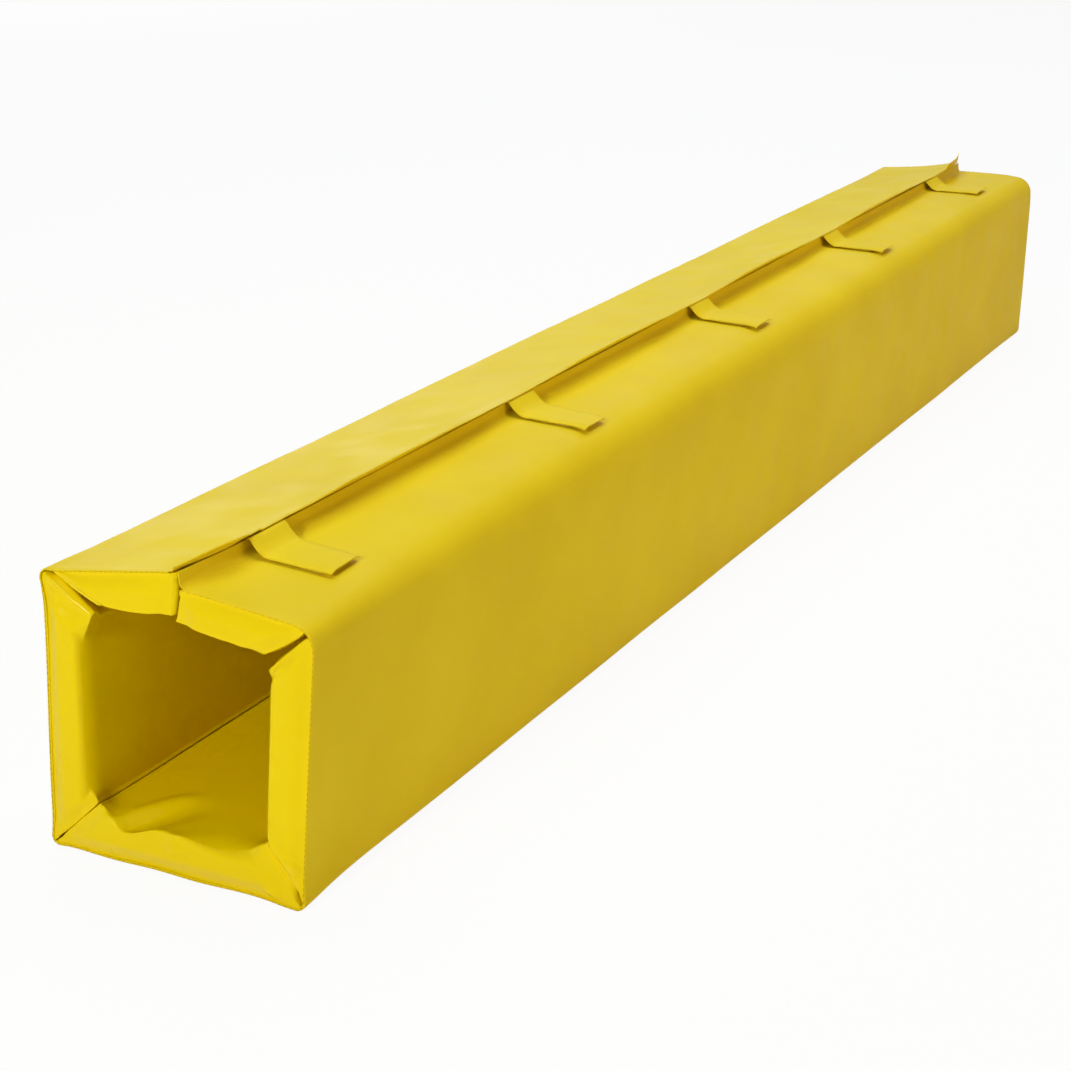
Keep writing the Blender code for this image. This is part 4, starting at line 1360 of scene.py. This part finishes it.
def make_lights():
    """A soft lamp overhead, cool window light from behind, and warmer light from the front and right."""
    make_lamp("overhead_softbox", (-0.3, 0.0, 2.8), (0.0, 0.0, 0.2), 2.4, 2.4, 52.0, "#FFFFE6")
    make_lamp("back_left_panel", (-4.6, 4.2, 1.5), (0.0, 0.0, 0.2), 3.0, 2.0, 47.0)
    make_lamp("back_high_window", (-1.0, 3.0, 2.5), (0.0, 0.0, 0.2), 2.0, 2.0, 32.0, "#C0CBFF")
    make_lamp("back_far_window", (-2.6, 6.0, 1.7), (0.0, 0.0, 0.2), 3.0, 2.0, 5.0, "#C0CBFF")
    make_lamp("front_softbox", (0.15, -3.4, 1.4), (0.0, -1.0, 0.1), 0.4, 0.4, 46.0, "#FFFFD4")
    make_lamp("right_softbox", (3.1, 0.3, 1.3), (0.1, 0.1, 0.15), 3.2, 1.4, 38.0, "#FFE3A0")


# Each sheet of the skin: the two panels that it joins, where the fold between them starts and ends across
# the section, its flat size, and the nodes that it replaces
SKIN_FOLDS = [
    ("bottom_panel", "left_panel", (-0.100, 0, 0.0), (-0.120, 0, 0.020), (0.140, 2.0),
     ["bottom_skin", "left_skin", "fold_bottom_left"]),
    ("bottom_panel", "right_panel", (0.100, 0, 0.0), (0.120, 0, 0.020), (0.140, 2.0),
     ["bottom_skin", "right_skin", "fold_bottom_right"]),
    ("left_panel", "top_left_panel", (-0.1155, 0, 0.2185), (-0.0955, 0, 0.2425), (0.358, 2.0),
     ["left_skin", "top_left_skin", "fold_top_left", "closure_lip"]),
    ("right_panel", "top_right_panel", (0.1320, 0, 0.2170), (0.1120, 0, 0.2410), (0.329, 2.0),
     ["right_skin", "top_right_skin", "fold_top_right", "underlap_flap"]),
]


def place_skins(vinyl, thread):
    """The four sheets of the skin and their stitches, bent at the folds."""
    skins = [make_skin(name, vinyl) for name in SKIN_LINES]
    stitches = [make_stitching(name, thread) for name in SKIN_LINES]
    for skin, row, (one, other, start, end, flat, nodes) in zip(skins, stitches, SKIN_FOLDS):
        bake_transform(skin)
        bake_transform(row)
        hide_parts(*nodes)


def place_padding(vinyl, foam):
    """The five covers and the five foam cores, each on its panel."""
    covers = [make_cover(panel, vinyl) for panel in PANELS]
    cores = [make_foam(panel, foam) for panel in PANELS]
    kinds = [(covers, "_cover", "cover_vinyl", 0.95), (cores, "_foam", "foam", 1.0)]
    for pieces, node, slot, fill in kinds:
        for panel, piece in zip(PANELS, pieces):
            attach(piece, panel.name + "_panel")
            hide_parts(panel.name + node)


def place_patch(number, kind, y, layer, material, body):
    """One patch of hook or loop tape, carried by that body."""
    patch = make_patch(f"{kind}_tape_{number}", y, layer, material)
    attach(patch, body)
    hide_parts(f"{kind}_patch_{number}")


def place_strap(number, y, reach, vinyl, hooks, loops):
    """One strap, bent at the lip's edge, with its two patches."""
    strap = make_strap(number, y, reach, vinyl)
    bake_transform(strap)
    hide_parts(f"strap_{number}")
    place_patch(number, "hook", y, 1, hooks, f"closing_strap_{number}")
    place_patch(number, "loop", y, 0, loops, "top_right_panel")


def main():
    """Builds the pad, then the floor, the room, the lamps and the camera."""
    # The skin's two colours are paled by a little white that stands in for the sheen of its satin film:
    # painted sheen.
    skin_vinyl = coated_fabric("pvc_coated_polyester_satin_painted_sheen", "#EBD32A", "#E4CA26", 0.45, 0.5, 0.019, 0.0)
    cover_vinyl = coated_fabric("pvc_film_calendered_gloss", "#F3D600", "#EFD100", 0.30, 0.2, 0.05, 0.18)
    # The straps' two colours are paled the same way by a little white: painted sheen of their satin film.
    strap_vinyl = coated_fabric("pvc_coated_strap_satin_painted_sheen", "#EBD42E", "#E4CB2A", 0.47, 0.6, 0.019, 0.0)
    foam = closed_cell_foam("polyethylene_foam_closed_cell")
    hooks = nylon_tape("nylon_hook_tape_woven", "#9C8410", "#D9C22A", HOOK_PITCH, 0.0006)
    loops = nylon_tape("nylon_loop_tape_brushed", "#A88E14", "#D6BE30", LOOP_PITCH, 0.0004)
    thread = sewing_thread("polyester_thread_bonded")
    place_skins(skin_vinyl, thread)
    place_padding(cover_vinyl, foam)
    for number, (y, reach) in enumerate(zip(STRAP_PLACES, STRAP_REACHES), 1):
        place_strap(number, y, reach, strap_vinyl, hooks, loops)

    make_floor()
    make_world()
    make_lights()
    make_camera()
    bpy.context.scene.view_settings.view_transform = "Standard"


main()
